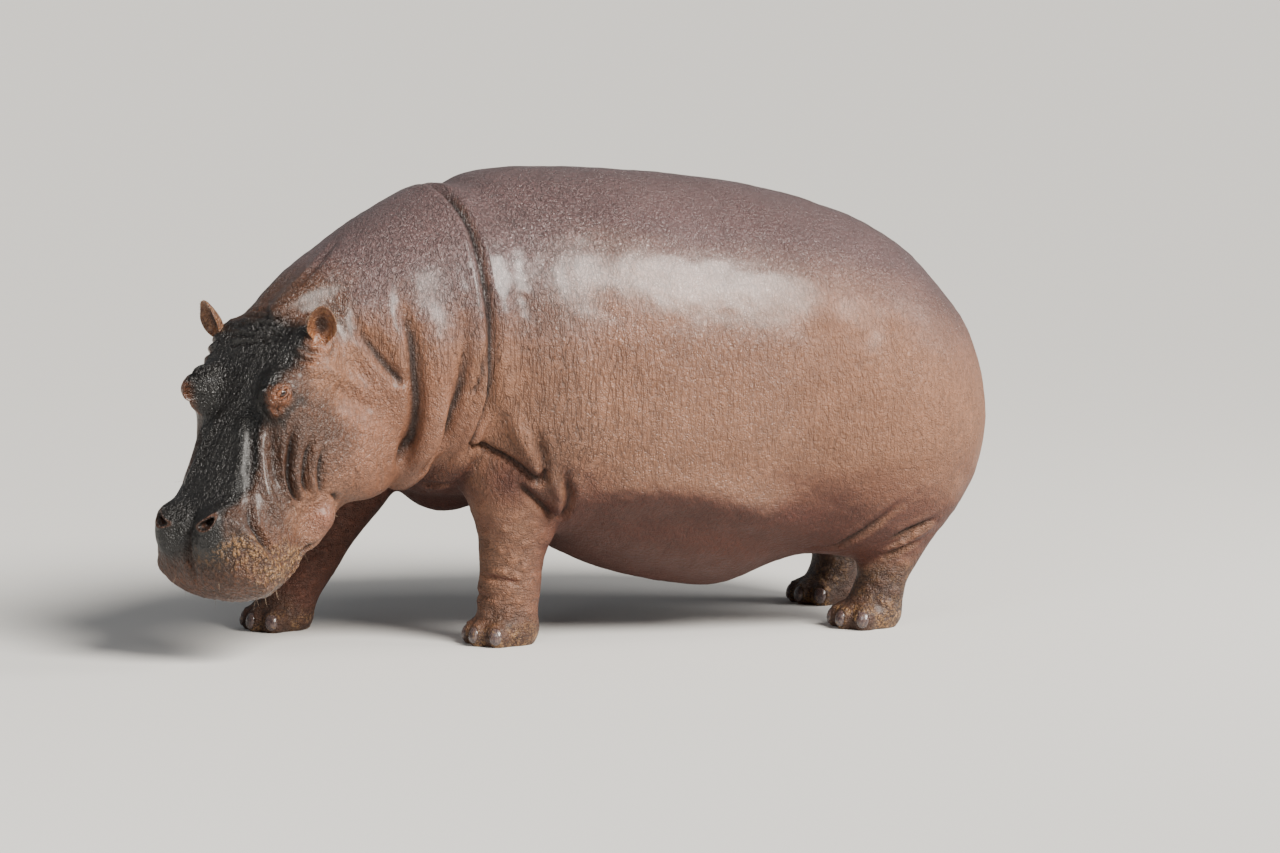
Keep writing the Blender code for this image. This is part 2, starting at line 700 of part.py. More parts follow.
def main():
    """Builds every part of the animal."""
    clear_scene()
    parts = new_collection(MODEL)
    tools = new_collection("cutters")
    trunk = model_flesh(parts)
    trunk.name = "trunk"
    boolean(trunk, floor_region(tools), "DIFFERENCE")
    pieces = {}
    for name in FEET:
        pieces[name] = part_off(
            trunk, name, lambda group, extra, leg=name: leg_region(leg, group, extra), parts, tools)
    pieces["neck"] = part_off(trunk, "neck", neck_region, parts, tools)
    pieces["head"] = part_off(pieces["neck"], "head", head_region, parts, tools)
    pieces["lower_jaw"] = part_off(pieces["head"], "lower_jaw", jaw_region, parts, tools)
    pieces["trunk"] = trunk
    hide, glass, horn = material("hide"), material("eye"), material("nail")
    finishes = dict.fromkeys(pieces, hide)
    for side_name, side in (("left", 1), ("right", -1)):
        for piece, finish in ((eye(side_name, side, parts), glass), (ear(side_name, side, parts), hide)):
            seat(piece, pieces["head"], tools)
            pieces[piece.name] = piece
            finishes[piece.name] = finish
    pieces["tail"] = tail(parts)
    finishes["tail"] = hide
    seat(pieces["tail"], trunk, tools)
    for leg, foot in FEET.items():
        for number, angle in enumerate(TOE_ANGLES, start=1):
            piece = nail(f"nail_{leg}_{number}", foot, angle, parts)
            seat(piece, pieces[leg], tools)
            pieces[piece.name] = piece
            finishes[piece.name] = horn
    for name, piece in pieces.items():
        drop_crumbs(piece)
        finish_piece(piece, finishes[name])
    set_on_origin(list(pieces.values()))
    for cutter in list(tools.objects):
        hide_cutter(cutter)


if __name__ == "__main__":
    main()
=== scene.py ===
"""Looks of the life-size standing hippopotamus.

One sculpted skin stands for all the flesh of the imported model. It is built like clay: rounded
forms are fused, the fused body is refined where the detail is fine, and folds, lids, nostrils and
nail beds are pressed into it. Eyeballs and nails are spheres brought to their shape, and bristles
are thin tubes. All sculpting is done in the maker's frame (x to the animal's left, y to its rear,
z up, y = 0 mid-trunk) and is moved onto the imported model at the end.
"""
from __future__ import annotations

import json
import logging
import math
from contextlib import contextmanager
from dataclasses import dataclass, field, replace
from enum import Enum
from typing import Callable, Iterable, Iterator, Optional, Sequence, Union

import bmesh
import bpy
import numpy as np
from mathutils import Matrix, Vector, noise
from mathutils.kdtree import KDTree

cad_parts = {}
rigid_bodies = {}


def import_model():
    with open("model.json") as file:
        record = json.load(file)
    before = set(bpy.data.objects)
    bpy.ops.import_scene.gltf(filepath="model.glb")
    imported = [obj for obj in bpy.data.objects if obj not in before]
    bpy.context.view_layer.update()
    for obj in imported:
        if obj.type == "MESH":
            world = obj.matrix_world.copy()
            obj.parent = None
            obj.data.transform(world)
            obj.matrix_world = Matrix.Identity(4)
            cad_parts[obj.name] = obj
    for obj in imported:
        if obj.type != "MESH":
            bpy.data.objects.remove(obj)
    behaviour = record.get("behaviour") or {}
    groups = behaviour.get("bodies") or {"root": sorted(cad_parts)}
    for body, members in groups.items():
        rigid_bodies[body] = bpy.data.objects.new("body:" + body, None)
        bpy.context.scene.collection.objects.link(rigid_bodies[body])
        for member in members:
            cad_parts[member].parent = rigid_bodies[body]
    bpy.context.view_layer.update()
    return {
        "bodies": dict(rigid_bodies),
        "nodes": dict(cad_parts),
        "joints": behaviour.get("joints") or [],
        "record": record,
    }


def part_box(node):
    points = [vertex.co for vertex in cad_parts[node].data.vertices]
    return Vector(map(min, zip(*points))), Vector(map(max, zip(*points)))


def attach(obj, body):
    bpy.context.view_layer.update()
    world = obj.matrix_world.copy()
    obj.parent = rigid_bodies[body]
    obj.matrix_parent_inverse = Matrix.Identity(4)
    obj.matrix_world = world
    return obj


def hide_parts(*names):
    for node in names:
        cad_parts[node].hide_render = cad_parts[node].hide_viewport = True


LOG = logging.getLogger("hippopotamus")
Array = np.ndarray
Object = bpy.types.Object
Socket = bpy.types.NodeSocket
Vec3 = tuple[float, float, float]
Colour = tuple[float, float, float]

SAME_PLACE = 1e-5                # vertices nearer than this are the same one
BODY = "root"
FAR = 9.0                        # distance given to points that no form is near
WIDEST_BLEND = 0.20              # beyond this a form doesn't touch the skin


# ---------- small maths
def unit(vector: Sequence[float]) -> Array:
    """The same direction with length one."""
    return np.asarray(vector, float) / np.linalg.norm(np.asarray(vector, float))


def ramp(value: Union[float, Array], start: float, end: float) -> Array:
    """Smooth step from 0 at start to 1 at end. It falls when end is below start."""
    share = np.clip((np.asarray(value, float) - start) / (end - start), 0.0, 1.0)
    return share * share * (3.0 - 2.0 * share)


def bell(value: Union[float, Array], width: float) -> Array:
    """Bell curve: 1 at zero and falling to 0.37 at the width."""
    return np.exp(-np.square(np.asarray(value, float) / width))


def metres(rows: Iterable[Sequence[float]]) -> tuple[tuple[float, ...], ...]:
    """Rows of sizes told in millimetres, as metres."""
    return tuple(tuple(value / 1000 for value in row) for row in rows)


def monotone(xs: Array, ys: Array, x: Array) -> Array:
    """Cubic curve through the points (xs, ys) that never overshoots them.

    Args:
        xs: places of the points, rising.
        ys: values at the points.
        x: where the curve is read.

    Returns:
        The curve's values at x.
    """
    step = np.diff(xs)
    slope = np.diff(ys) / step
    tangent = np.empty_like(ys)
    tangent[0] = slope[0]
    tangent[-1] = slope[-1]
    before, after = slope[:-1], slope[1:]
    same_way = before * after > 0
    safe = np.where(same_way, before + after, 1.0)
    tangent[1:-1] = np.where(same_way, 2.0 * before * after / safe, 0.0)
    span = np.clip(np.searchsorted(xs, x) - 1, 0, len(step) - 1)
    t = np.clip((x - xs[span]) / step[span], 0.0, 1.0)
    h00 = (1 + 2 * t) * (1 - t) ** 2
    h10 = t * (1 - t) ** 2
    h01 = t * t * (3 - 2 * t)
    h11 = t * t * (t - 1)
    return (h00 * ys[span] + h10 * step[span] * tangent[span]
            + h01 * ys[span + 1] + h11 * step[span] * tangent[span + 1])


def curve_through(points: Array, per_span: int) -> Array:
    """Rounded curve through points, as a dense row of points.

    Args:
        points: the points, one a row.
        per_span: how many steps are taken between two points.

    Returns:
        The dense points, one a row.
    """
    padded = np.vstack([2 * points[0] - points[1], points, 2 * points[-1] - points[-2]])
    rows = []
    for start in range(len(points) - 1):
        a, b, c, d = padded[start:start + 4]
        for t in np.arange(per_span) / per_span:
            rows.append(0.5 * (2 * b + (c - a) * t + (2 * a - 5 * b + 4 * c - d) * t * t
                               + (3 * b - a - 3 * c + d) * t ** 3))
    rows.append(points[-1])
    return np.array(rows)


def lumps(points: Array, size: float, seed: float = 0.0) -> Array:
    """Soft random values from -1 to 1 over space.

    Args:
        points: places, one a row.
        size: distance over which the values change.
        seed: shift that gives another pattern.

    Returns:
        One value for each place.
    """
    places = points / size + seed
    return np.array([noise.noise(Vector(place)) for place in places]) * 1.6


# ---------- forms
class Frame:
    """Forward, left and upward of one part of the body."""

    def __init__(self, origin: Sequence[float], forward: Sequence[float],
                 left: Sequence[float]) -> None:
        """Sets the frame.

        Args:
            origin: its middle.
            forward: its first direction.
            left: its second direction, square to the first.
        """
        self.origin = np.asarray(origin, float)
        self.forward = unit(forward)
        self.left = unit(left)
        self.upward = np.cross(self.forward, self.left)
        self.axes = np.array([self.forward, self.left, self.upward])

    def at(self, forward: float, left: float, upward: float) -> Array:
        """World place of a point given in this frame."""
        return self.origin + np.array([forward, left, upward]) @ self.axes

    def inside(self, points: Array) -> Array:
        """World points told in this frame."""
        return (points - self.origin) @ self.axes.T


class Form:
    """A closed rounded form that can be blended with others."""

    blend: float
    middle: Array
    bound: float

    def distance(self, points: Array) -> Array:
        """Signed distance to the surface, near enough for blending."""
        raise NotImplementedError

    def place(self, ball: Array) -> Array:
        """Points of a unit ball laid on the surface."""
        raise NotImplementedError


class Loft(Form):
    """A long form: superellipse sections set square to a straight axis, with round ends.

    Each station is (along, half width, level of the widest point, top, bottom), in millimetres. The
    first and last stations are the tips, which have a level but no size.
    """

    def __init__(self, origin: Sequence[float], along: Sequence[float], up: Sequence[float],
                 stations: Sequence[Sequence[float]], blend: float, power: float = 2.2) -> None:
        """Works out the form's axes and the sizes that its curves go through.

        Args:
            origin: where the axis starts.
            along: the axis.
            up: roughly the way of the sections' tops.
            stations: the sections.
            blend: how softly the form joins the others.
            power: squareness of the sections, 2 for an ellipse.
        """
        self.origin = np.asarray(origin, float)
        self.along = unit(along)
        self.up = unit(np.asarray(up, float) - np.dot(up, self.along) * self.along)
        self.side = np.cross(self.up, self.along)
        self.blend = blend
        self.power = power
        along_values, width, widest, top, bottom = np.asarray(stations, float).T / 1000
        self.half_length = (along_values[-1] - along_values[0]) / 2
        self.centre = (along_values[-1] + along_values[0]) / 2
        self.shares = (along_values - self.centre) / self.half_length
        self.widest = widest
        taper = np.sqrt(1.0 - self.shares[1:-1] ** 2)
        self.plumpness = [np.pad(size[1:-1] / taper, 1, mode="edge")
                          for size in (width, top - widest, widest - bottom)]
        thickest = np.hypot(width.max(), max(np.abs(top).max(), np.abs(bottom).max()))
        self.middle = self.origin + self.along * self.centre
        self.bound = math.hypot(self.half_length, thickest)

    def sizes(self, share: Array) -> tuple[Array, ...]:
        """Half width, rise and drop before the round of the ends, and the widest level."""
        inside = np.clip(share, -1.0, 1.0)
        return tuple(monotone(self.shares, column, inside)
                     for column in (*self.plumpness, self.widest))

    def reach(self, share: Array, across: Array, level: Array) -> Array:
        """How far out places lie: 1 on the surface, less inside and more outside.

        Args:
            share: place along the form, from -1 to 1.
            across: place to the side.
            level: place upwards.

        Returns:
            One value for each place.
        """
        width, rise, drop, widest = self.sizes(share)
        height = level - widest
        vertical = np.where(height > 0, height / rise, -height / drop)
        section = np.abs(across / width) ** self.power + vertical ** self.power
        section = section ** (2 / self.power)
        return np.sqrt(section + share * share)

    def distance(self, points: Array) -> Array:
        """Signed distance to the surface, near enough for blending."""
        offset = points - self.origin
        share = (offset @ self.along - self.centre) / self.half_length
        across, level = offset @ self.side, offset @ self.up
        nudge = 1e-3
        value = self.reach(share, across, level)
        slopes = (self.reach(share + nudge / self.half_length, across, level) - value,
                  self.reach(share, across + nudge, level) - value,
                  self.reach(share, across, level + nudge) - value)
        steepness = np.sqrt(sum(s * s for s in slopes)) / nudge
        return (value - 1.0) / np.maximum(steepness, 0.1)

    def place(self, ball: Array) -> Array:
        """Points of a unit ball laid on the form's surface.

        Args:
            ball: the ball's points, one a row.

        Returns:
            Their places.
        """
        share = ball[:, 2]
        width, rise, drop, widest = self.sizes(share)
        taper = np.sqrt(np.maximum(1.0 - share * share, 0.0))
        angle = np.arctan2(ball[:, 1], ball[:, 0])
        cosine, sine = np.cos(angle), np.sin(angle)
        square = 2.0 / self.power
        across = taper * width * np.sign(cosine) * np.abs(cosine) ** square
        tall = np.where(sine > 0, rise, drop)
        level = widest + taper * tall * np.sign(sine) * np.abs(sine) ** square
        along = self.centre + self.half_length * share
        return (self.origin + np.outer(along, self.along) + np.outer(across, self.side)
                + np.outer(level, self.up))


class Blob(Form):
    """A rounded lump: an ellipsoid with its own axes."""

    def __init__(self, centre: Sequence[float], radii: Sequence[float], blend: float,
                 axes: Optional[Array] = None) -> None:
        """Sets the lump.

        Args:
            centre: its middle.
            radii: its three radii.
            blend: how softly it joins the others.
            axes: its directions, or the maker's frame.
        """
        self.centre = np.asarray(centre, float)
        self.radii = np.asarray(radii, float)
        self.axes = np.eye(3) if axes is None else np.asarray(axes, float)
        self.blend = blend
        self.middle = self.centre
        self.bound = float(self.radii.max())

    def distance(self, points: Array) -> Array:
        """Signed distance to the surface, near enough for blending."""
        local = (points - self.centre) @ self.axes.T
        near = np.linalg.norm(local / self.radii, axis=1)
        steep = np.linalg.norm(local / self.radii ** 2, axis=1)
        return near * (near - 1.0) / np.maximum(steep, 1e-6)

    def place(self, ball: Array) -> Array:
        """Points of a unit ball laid on the lump's surface."""
        return self.centre + (ball * self.radii) @ self.axes


def smooth_union(first: Array, second: Array, blend: float) -> Array:
    """Nearer of two distances, with the crease between them rounded.

    Args:
        first: distances to one form.
        second: distances to the other.
        blend: reach of the rounding.

    Returns:
        The blended distances.
    """
    if blend <= 0:
        return np.minimum(first, second)
    share = np.maximum(blend - np.abs(first - second), 0.0) / blend
    return np.minimum(first, second) - share * share * blend / 4.0


class Clay:
    """Groups of forms. Each group is blended on its own and then joined to the ones before it."""

    def __init__(self, groups: Sequence[tuple[float, Sequence[Form]]]) -> None:
        """Keeps the groups, each with the blend that joins it to the ones before."""
        self.groups = groups

    def forms(self) -> list[Form]:
        """Every form of every group."""
        return [form for _, forms in self.groups for form in forms]

    def distance(self, points: Array) -> Array:
        """Signed distance to the blended skin, near enough for settling points on it."""
        total: Optional[Array] = None
        for blend, forms in self.groups:
            value = np.full(len(points), FAR)
            for form in forms:
                margin = form.bound + WIDEST_BLEND
                near = np.flatnonzero(np.linalg.norm(points - form.middle, axis=1) < margin)
                value[near] = smooth_union(value[near], form.distance(points[near]), form.blend)
            total = value if total is None else smooth_union(total, value, blend)
        return total

    def slope(self, points: Array, value: Array) -> Array:
        """Direction in which the distance grows, which is outwards on the skin."""
        reach = 1e-3
        return np.stack([self.distance(points + reach * axis) - value
                         for axis in np.eye(3)], axis=1) / reach

    def settle(self, points: Array, steps: int) -> Array:
        """Points moved onto the blended surface, a little at a time.

        Args:
            points: places near the surface, one a row.
            steps: how many moves are made.

        Returns:
            The moved places.
        """
        longest = 0.008
        for _ in range(steps):
            value = self.distance(points)
            slope = self.slope(points, value)
            size = np.maximum(np.linalg.norm(slope, axis=1), 0.2)
            move = np.clip(value / size, -longest, longest)
            points = points - slope * (move / size)[:, None]
        return points

    def outward(self, points: Array) -> Array:
        """Unit outward direction at points of the skin."""
        slope = self.slope(points, self.distance(points))
        return slope / np.maximum(np.linalg.norm(slope, axis=1), 1e-6)[:, None]


# ---------- the animal
@dataclass(frozen=True)
class Build:
    """Driving sizes of the animal in the maker's frame, metres. They are those of the solids."""

    eyes_middle: Vec3 = (0.380, -1.410, 0.815)
    head_turn: float = math.radians(30)
    head_pitch: float = math.radians(57)
    eye_apart: float = 0.368
    eye_radius: float = 0.023
    neck_root: Vec3 = (0.0, -0.450, 0.930)
    neck_axis: Vec3 = (0.292, -0.950, -0.110)
    neck_roll_inset: float = 0.110
    ear_place: Vec3 = (-0.190, 0.195, -0.020)
    ear_size: Vec3 = (0.036, 0.018, 0.062)
    tail_root: Vec3 = (0.0, 1.000, 0.960)
    tail_axis: Vec3 = (0.0, 0.120, -0.990)
    foot_length: float = 0.125
    toe_radius: float = 0.043
    nail_size: Vec3 = (0.0200, 0.0130, 0.0260)
    nail_rise: float = 0.004

    def head(self) -> Frame:
        """Frame of the head: forward along the muzzle, from the middle between the eyes."""
        level = np.array([math.sin(self.head_turn), -math.cos(self.head_turn), 0.0])
        forward = level * math.cos(self.head_pitch) - np.array([0, 0, math.sin(self.head_pitch)])
        left = (math.cos(self.head_turn), math.sin(self.head_turn), 0.0)
        return Frame(self.eyes_middle, forward, left)

    def neck(self) -> Frame:
        """Frame of the neck, forward from its root in the trunk."""
        return Frame(self.neck_root, self.neck_axis, (0.950, 0.292, 0.0))

    def eye_middle(self, side: int) -> Array:
        """Middle of the eyeball, left for side 1 and right for side -1."""
        return self.head().at(0.008, side * self.eye_apart / 2, 0.004)


BUILD = Build()
HEAD = BUILD.head()
NECK = BUILD.neck()
SIDES = (("left", 1), ("right", -1))
FEET: dict[str, tuple[float, float]] = {
    "foreleg_left": (0.285, -0.530),
    "foreleg_right": (-0.270, -1.075),
    "hindleg_left": (0.300, 0.665),
    "hindleg_right": (-0.300, 0.765),
}
TOE_ANGLES = tuple(math.radians(angle) for angle in (-57, -19, 19, 57))


def tilted(axes: Array, around: int, angle: float) -> Array:
    """Axes turned by an angle about one of themselves."""
    spin = np.array(Matrix.Rotation(angle, 3, Vector(axes[around])))
    return axes @ spin.T


def toe_frame(foot: tuple[float, float], angle: float) -> Frame:
    """Frame at a toe's middle, forward along the toe.

    Args:
        foot: the foot's place on the floor.
        angle: the toe's turn from the front.

    Returns:
        The frame.
    """
    forward = np.array([math.sin(angle), -math.cos(angle), 0.0])
    left = np.array([math.cos(angle), math.sin(angle), 0.0])
    reach = BUILD.foot_length - BUILD.toe_radius
    spread = np.array([1.05, 1.0, 1.0])
    middle = np.array([foot[0], foot[1] - 0.012, 0.030]) + forward * reach * spread
    return Frame(middle, forward, left)


class Anatomy:
    """The rounded forms of the body, the same as those of the solids."""

    def trunk(self) -> list[Form]:
        """Barrel, shoulders, breast, haunches and buttocks."""
        barrel = Loft((0, 0, 0), (0, 1, 0), (0, 0, 1), [
            (-860, 0, 920, 920, 920), (-720, 340, 890, 1300, 560),
            (-600, 440, 850, 1403, 480), (-450, 490, 800, 1437, 400),
            (-260, 530, 760, 1436, 236), (0, 562, 730, 1420, 148),
            (200, 575, 720, 1398, 124), (360, 575, 720, 1370, 180),
            (530, 560, 720, 1325, 265), (700, 520, 730, 1260, 345),
            (860, 430, 750, 1155, 420), (960, 310, 760, 1020, 520),
            (1035, 0, 760, 760, 760)], 0.0, 2.3)
        forms: list[Form] = [barrel, Blob((-0.04, -0.66, 0.62), (0.270, 0.200, 0.190), 0.10)]
        for side in (1, -1):
            shift = -0.02 if side > 0 else -0.14
            forms += [
                Blob((0.27 * side, -0.42 + shift, 0.74), (0.205, 0.230, 0.390), 0.14),
                Blob((0.31 * side, 0.64, 0.62), (0.235, 0.330, 0.400), 0.16),
                Blob((0.205 * side, 0.84, 0.65), (0.205, 0.215, 0.355), 0.09),
            ]
        return forms

    def neck(self) -> list[Form]:
        """The neck, its heavy nape and the folds of its left side."""
        forms: list[Form] = [Loft(BUILD.neck_root, BUILD.neck_axis, (0, 0, 1), [
            (-80, 0, 20, 20, 20), (80, 380, 0, 440, -390),
            (200, 430, -20, 492, -415), (320, 405, -40, 470, -415),
            (440, 360, -60, 430, -385), (580, 305, -60, 372, -330),
            (720, 240, -50, 300, -260), (860, 170, -20, 215, -180),
            (980, 0, 30, 30, 30)], 0.018, 2.1)]
        for side in (1, -1):
            start, end = (0.055 * side, -0.66, 1.285), (0.235 + 0.075 * side, -1.20, 1.060)
            axis = np.subtract(end, start)
            length = float(np.linalg.norm(axis))
            forms.append(Loft(start, axis, (0, 0, 1), [
                (-140, 0, 0, 0, 0), (80, 80, 0, 72, -90),
                (280, 88, 0, 80, -100), (480, 75, 0, 70, -100),
                (1000 * length + 100, 0, 0, 0, 0)], 0.05))
        for along, outward, rise, drop in ((0.360, 0.400, 0.33, -0.425),
                                           (0.485, 0.365, 0.29, -0.400)):
            across = outward - BUILD.neck_roll_inset
            middle = NECK.at(along, BUILD.neck_roll_inset, (rise + drop) / 2)
            forms.append(Blob(middle, (0.085, across, (rise - drop) / 2), 0.02,
                              tilted(NECK.axes, 1, -0.12)))
        return forms

    def head(self) -> list[Form]:
        """Skull, jaw, cheeks, jowls, eye mounds, lips and nose."""
        skull = Loft(HEAD.origin, HEAD.forward, HEAD.upward, [
            (-360, 0, -150, -150, -150), (-260, 170, -140, -30, -300),
            (-140, 200, -130, 8, -330), (0, 178, -140, -4, -330),
            (120, 152, -150, -25, -310), (240, 150, -150, -44, -290),
            (340, 150, -160, -60, -290), (440, 140, -170, -70, -290),
            (540, 0, -180, -180, -180)], 0.06, 2.7)
        muzzle = Loft(HEAD.origin, HEAD.forward, HEAD.upward, [
            (110, 0, -220, -220, -220), (220, 158, -210, -80, -350),
            (320, 188, -210, -56, -374), (420, 200, -210, -50, -374),
            (500, 195, -220, -80, -345), (540, 180, -220, -120, -308),
            (580, 0, -220, -220, -220)], 0.05, 2.8)
        jaw = Loft(HEAD.origin, HEAD.forward, HEAD.upward, [
            (-300, 0, -360, -360, -360), (-200, 160, -360, -220, -490),
            (-60, 178, -380, -200, -550), (80, 172, -380, -200, -525),
            (220, 155, -370, -220, -470), (340, 152, -350, -220, -425),
            (440, 145, -330, -220, -385), (535, 0, -310, -310, -310)], 0.04)
        forms: list[Form] = [skull, muzzle, jaw]
        for side in (1, -1):
            forms += [Blob(HEAD.at(along, out * side, up), radii, blend, HEAD.axes)
                      for along, out, up, radii, blend in (
                          (-0.050, 0.150, -0.140, (0.185, 0.080, 0.115), 0.05),
                          (-0.060, 0.165, -0.385, (0.195, 0.105, 0.190), 0.04),
                          (0.060, 0.145, -0.250, (0.190, 0.080, 0.130), 0.06),
                          (-0.012, 0.145, -0.022, (0.070, 0.058, 0.055), 0.05),
                          (-0.180, 0.158, -0.048, (0.060, 0.040, 0.036), 0.08),
                          (0.435, 0.088, -0.072, (0.075, 0.050, 0.048), 0.05),
                          (0.240, 0.150, -0.360, (0.080, 0.050, 0.050), 0.04))]
        return forms

    def legs(self) -> list[Form]:
        """Four legs, each with a foot of four toes."""
        fore_left, fore_right = FEET["foreleg_left"], FEET["foreleg_right"]
        forms: list[Form] = [Loft((fore_left[0], fore_left[1], 0), (0, 0, 1), (0, -1, 0), [
            (-60, 0, 10, 10, 10), (30, 85, 0, 90, -80),
            (130, 85, 0, 96, -90), (240, 90, 0, 86, -106),
            (320, 105, 0, 90, -125), (420, 125, 10, 115, -130),
            (540, 140, 0, 140, -160), (780, 0, 0, 0, 0)], 0.035)]
        ankle = np.array([fore_right[0], fore_right[1] + 0.005, 0.09])
        elbow = np.array([-0.255, -0.760, 0.640])
        forms.append(Loft(ankle, elbow - ankle, (0, -1, 0.4), [
            (-130, 0, 0, 0, 0), (-40, 80, 0, 85, -76),
            (80, 84, 0, 92, -82), (200, 90, 0, 90, -90),
            (320, 110, 0, 115, -105), (450, 130, 0, 150, -125),
            (780, 0, 0, 0, 0)], 0.05))
        for name, lean in (("hindleg_left", 0.14), ("hindleg_right", 0.05)):
            foot = FEET[name]
            forms.append(Loft((foot[0], foot[1] + 0.015, 0.09), (0, lean, 0.56), (0, -1, 0), [
                (-130, 0, 0, 0, 0), (-40, 82, 0, 78, -70),
                (60, 84, 0, 76, -74), (150, 98, 0, 100, -100),
                (260, 125, 0, 150, -135), (400, 150, 0, 180, -160),
                (620, 0, 0, 0, 0)], 0.05))
        for foot in FEET.values():
            forms.append(Blob((foot[0], foot[1] - 0.015, 0.035), (0.100, 0.098, 0.062), 0.03))
            for angle in TOE_ANGLES:
                frame = toe_frame(foot, angle)
                radius = BUILD.toe_radius
                forms.append(Blob(frame.origin, (radius + 0.004, radius - 0.004, 0.046), 0.018,
                                  frame.axes))
        return forms

    def clay(self) -> Clay:
        """The whole body without its inset pieces."""
        return Clay([(0.0, self.trunk()), (0.018, self.neck()), (0.030, self.head()),
                     (0.045, self.legs())])


# ---------- relief
def on_head(side: int, rows: Iterable[Vec3]) -> tuple[Vec3, ...]:
    """Points told as (forward, outward, upward) of the head, as world places.

    Args:
        side: 1 for the animal's left, -1 for its right.
        rows: the points.

    Returns:
        The world places.
    """
    return tuple(tuple(HEAD.at(forward, out * side, up)) for forward, out, up in rows)


def mirrored(rows: Iterable[Vec3], shift: float = 0.0) -> tuple[Vec3, ...]:
    """The same points on the animal's right side, moved rearwards by shift."""
    return tuple((-x, y + shift, z) for x, y, z in rows)


@dataclass(frozen=True)
class SkinLine:
    """A crease that runs over the skin, or a ridge where its depth is negative.

    The points need only be near the skin. A lip is a swelling on both sides of the crease, and lean
    gives more of it to one side: 1 puts it all on the right of the line's direction.
    """

    places: tuple[Vec3, ...]
    width: float
    depth: float
    lip: float = 0.0
    lean: float = 0.0
    ends: tuple[float, float] = (0.25, 0.25)
    full_shade_depth: float = 0.024
    widest_shaded_width: float = 0.03

    @classmethod
    def told(cls, rows: Iterable[Sequence], full_shade_depth: float = 0.024) -> list["SkinLine"]:
        """Lines told in millimetres.

        Args:
            rows: for each line how its ends fade, its width, depth, lip and lean, and its places.
            full_shade_depth: the depth at which a crease's painted shade is darkest.

        Returns:
            The lines.
        """
        return [cls(metres(places), width / 1000, depth / 1000, lip / 1000, lean, ends, full_shade_depth)
                for ends, width, depth, lip, lean, *places in rows]

    def path(self) -> Array:
        """The line as a dense row of points near the skin."""
        return curve_through(np.array(self.places), 12)

    def press(self, points: Array, outward: Array, path: Array) -> tuple[Array, Array, Array]:
        """What the line does to the skin.

        Args:
            points: places on the skin.
            outward: outward directions there.
            path: the line's path, on the skin.

        Returns:
            The rows that it touches, how far each is raised, and how much painted crease shade it
            gets.
        """
        reach = 4.2 * self.width
        low, high = path.min(axis=0) - reach, path.max(axis=0) + reach
        near = np.flatnonzero(np.all((points > low) & (points < high), axis=1))
        if not len(near):
            return near, np.zeros(0), np.zeros(0)
        gaps = points[near][:, None, :] - path[None, :, :]
        nearest = np.argmin(np.einsum("ijk,ijk->ij", gaps, gaps), axis=1)
        offset = gaps[np.arange(len(near)), nearest]
        tangents = np.gradient(path, axis=0)
        lengths = np.linalg.norm(tangents, axis=1)
        tangents /= lengths[:, None]
        tangent = tangents[nearest]
        along = np.einsum("ij,ij->i", offset, tangent)
        spacing = lengths[nearest]
        slide = np.clip(along, -spacing / 2, spacing / 2)
        across = offset - tangent * slide[:, None]
        distance = np.linalg.norm(across, axis=1)
        handed = np.sign(np.einsum("ij,ij->i", np.cross(tangent, outward[near]), across))
        share = (nearest + slide / spacing) / (len(path) - 1)
        fade = np.ones(len(near))
        if self.ends[0] > 0:
            fade = fade * ramp(share, 0.0, self.ends[0])
        if self.ends[1] > 0:
            fade = fade * ramp(share, 1.0, 1.0 - self.ends[1])
        groove = bell(distance, self.width)
        swell = bell(distance - 1.9 * self.width, 1.1 * self.width) * (1.0 + self.lean * handed)
        raised = fade * (self.lip * swell - self.depth * groove)
        # narrow creases get painted shade in their groove, darker the deeper they are
        gets_crease_shade = self.width < self.widest_shaded_width
        crease_shade = min(max(self.depth, 0.0) / self.full_shade_depth, 1.0) if gets_crease_shade else 0.0
        return near, raised, crease_shade * fade * bell(distance, 0.75 * self.width)


@dataclass(frozen=True)
class Swelling:
    """A soft bump, or a hollow where its height is negative."""

    place: Vec3
    radius: float
    height: float

    def press(self, points: Array) -> tuple[Array, Array]:
        """Raises the skin.

        Args:
            points: places on the skin.

        Returns:
            The rows that the bump touches, and how far each is raised.
        """
        distance = np.linalg.norm(points - np.array(self.place), axis=1)
        near = np.flatnonzero(distance < 2.6 * self.radius)
        return near, self.height * bell(distance[near], self.radius)


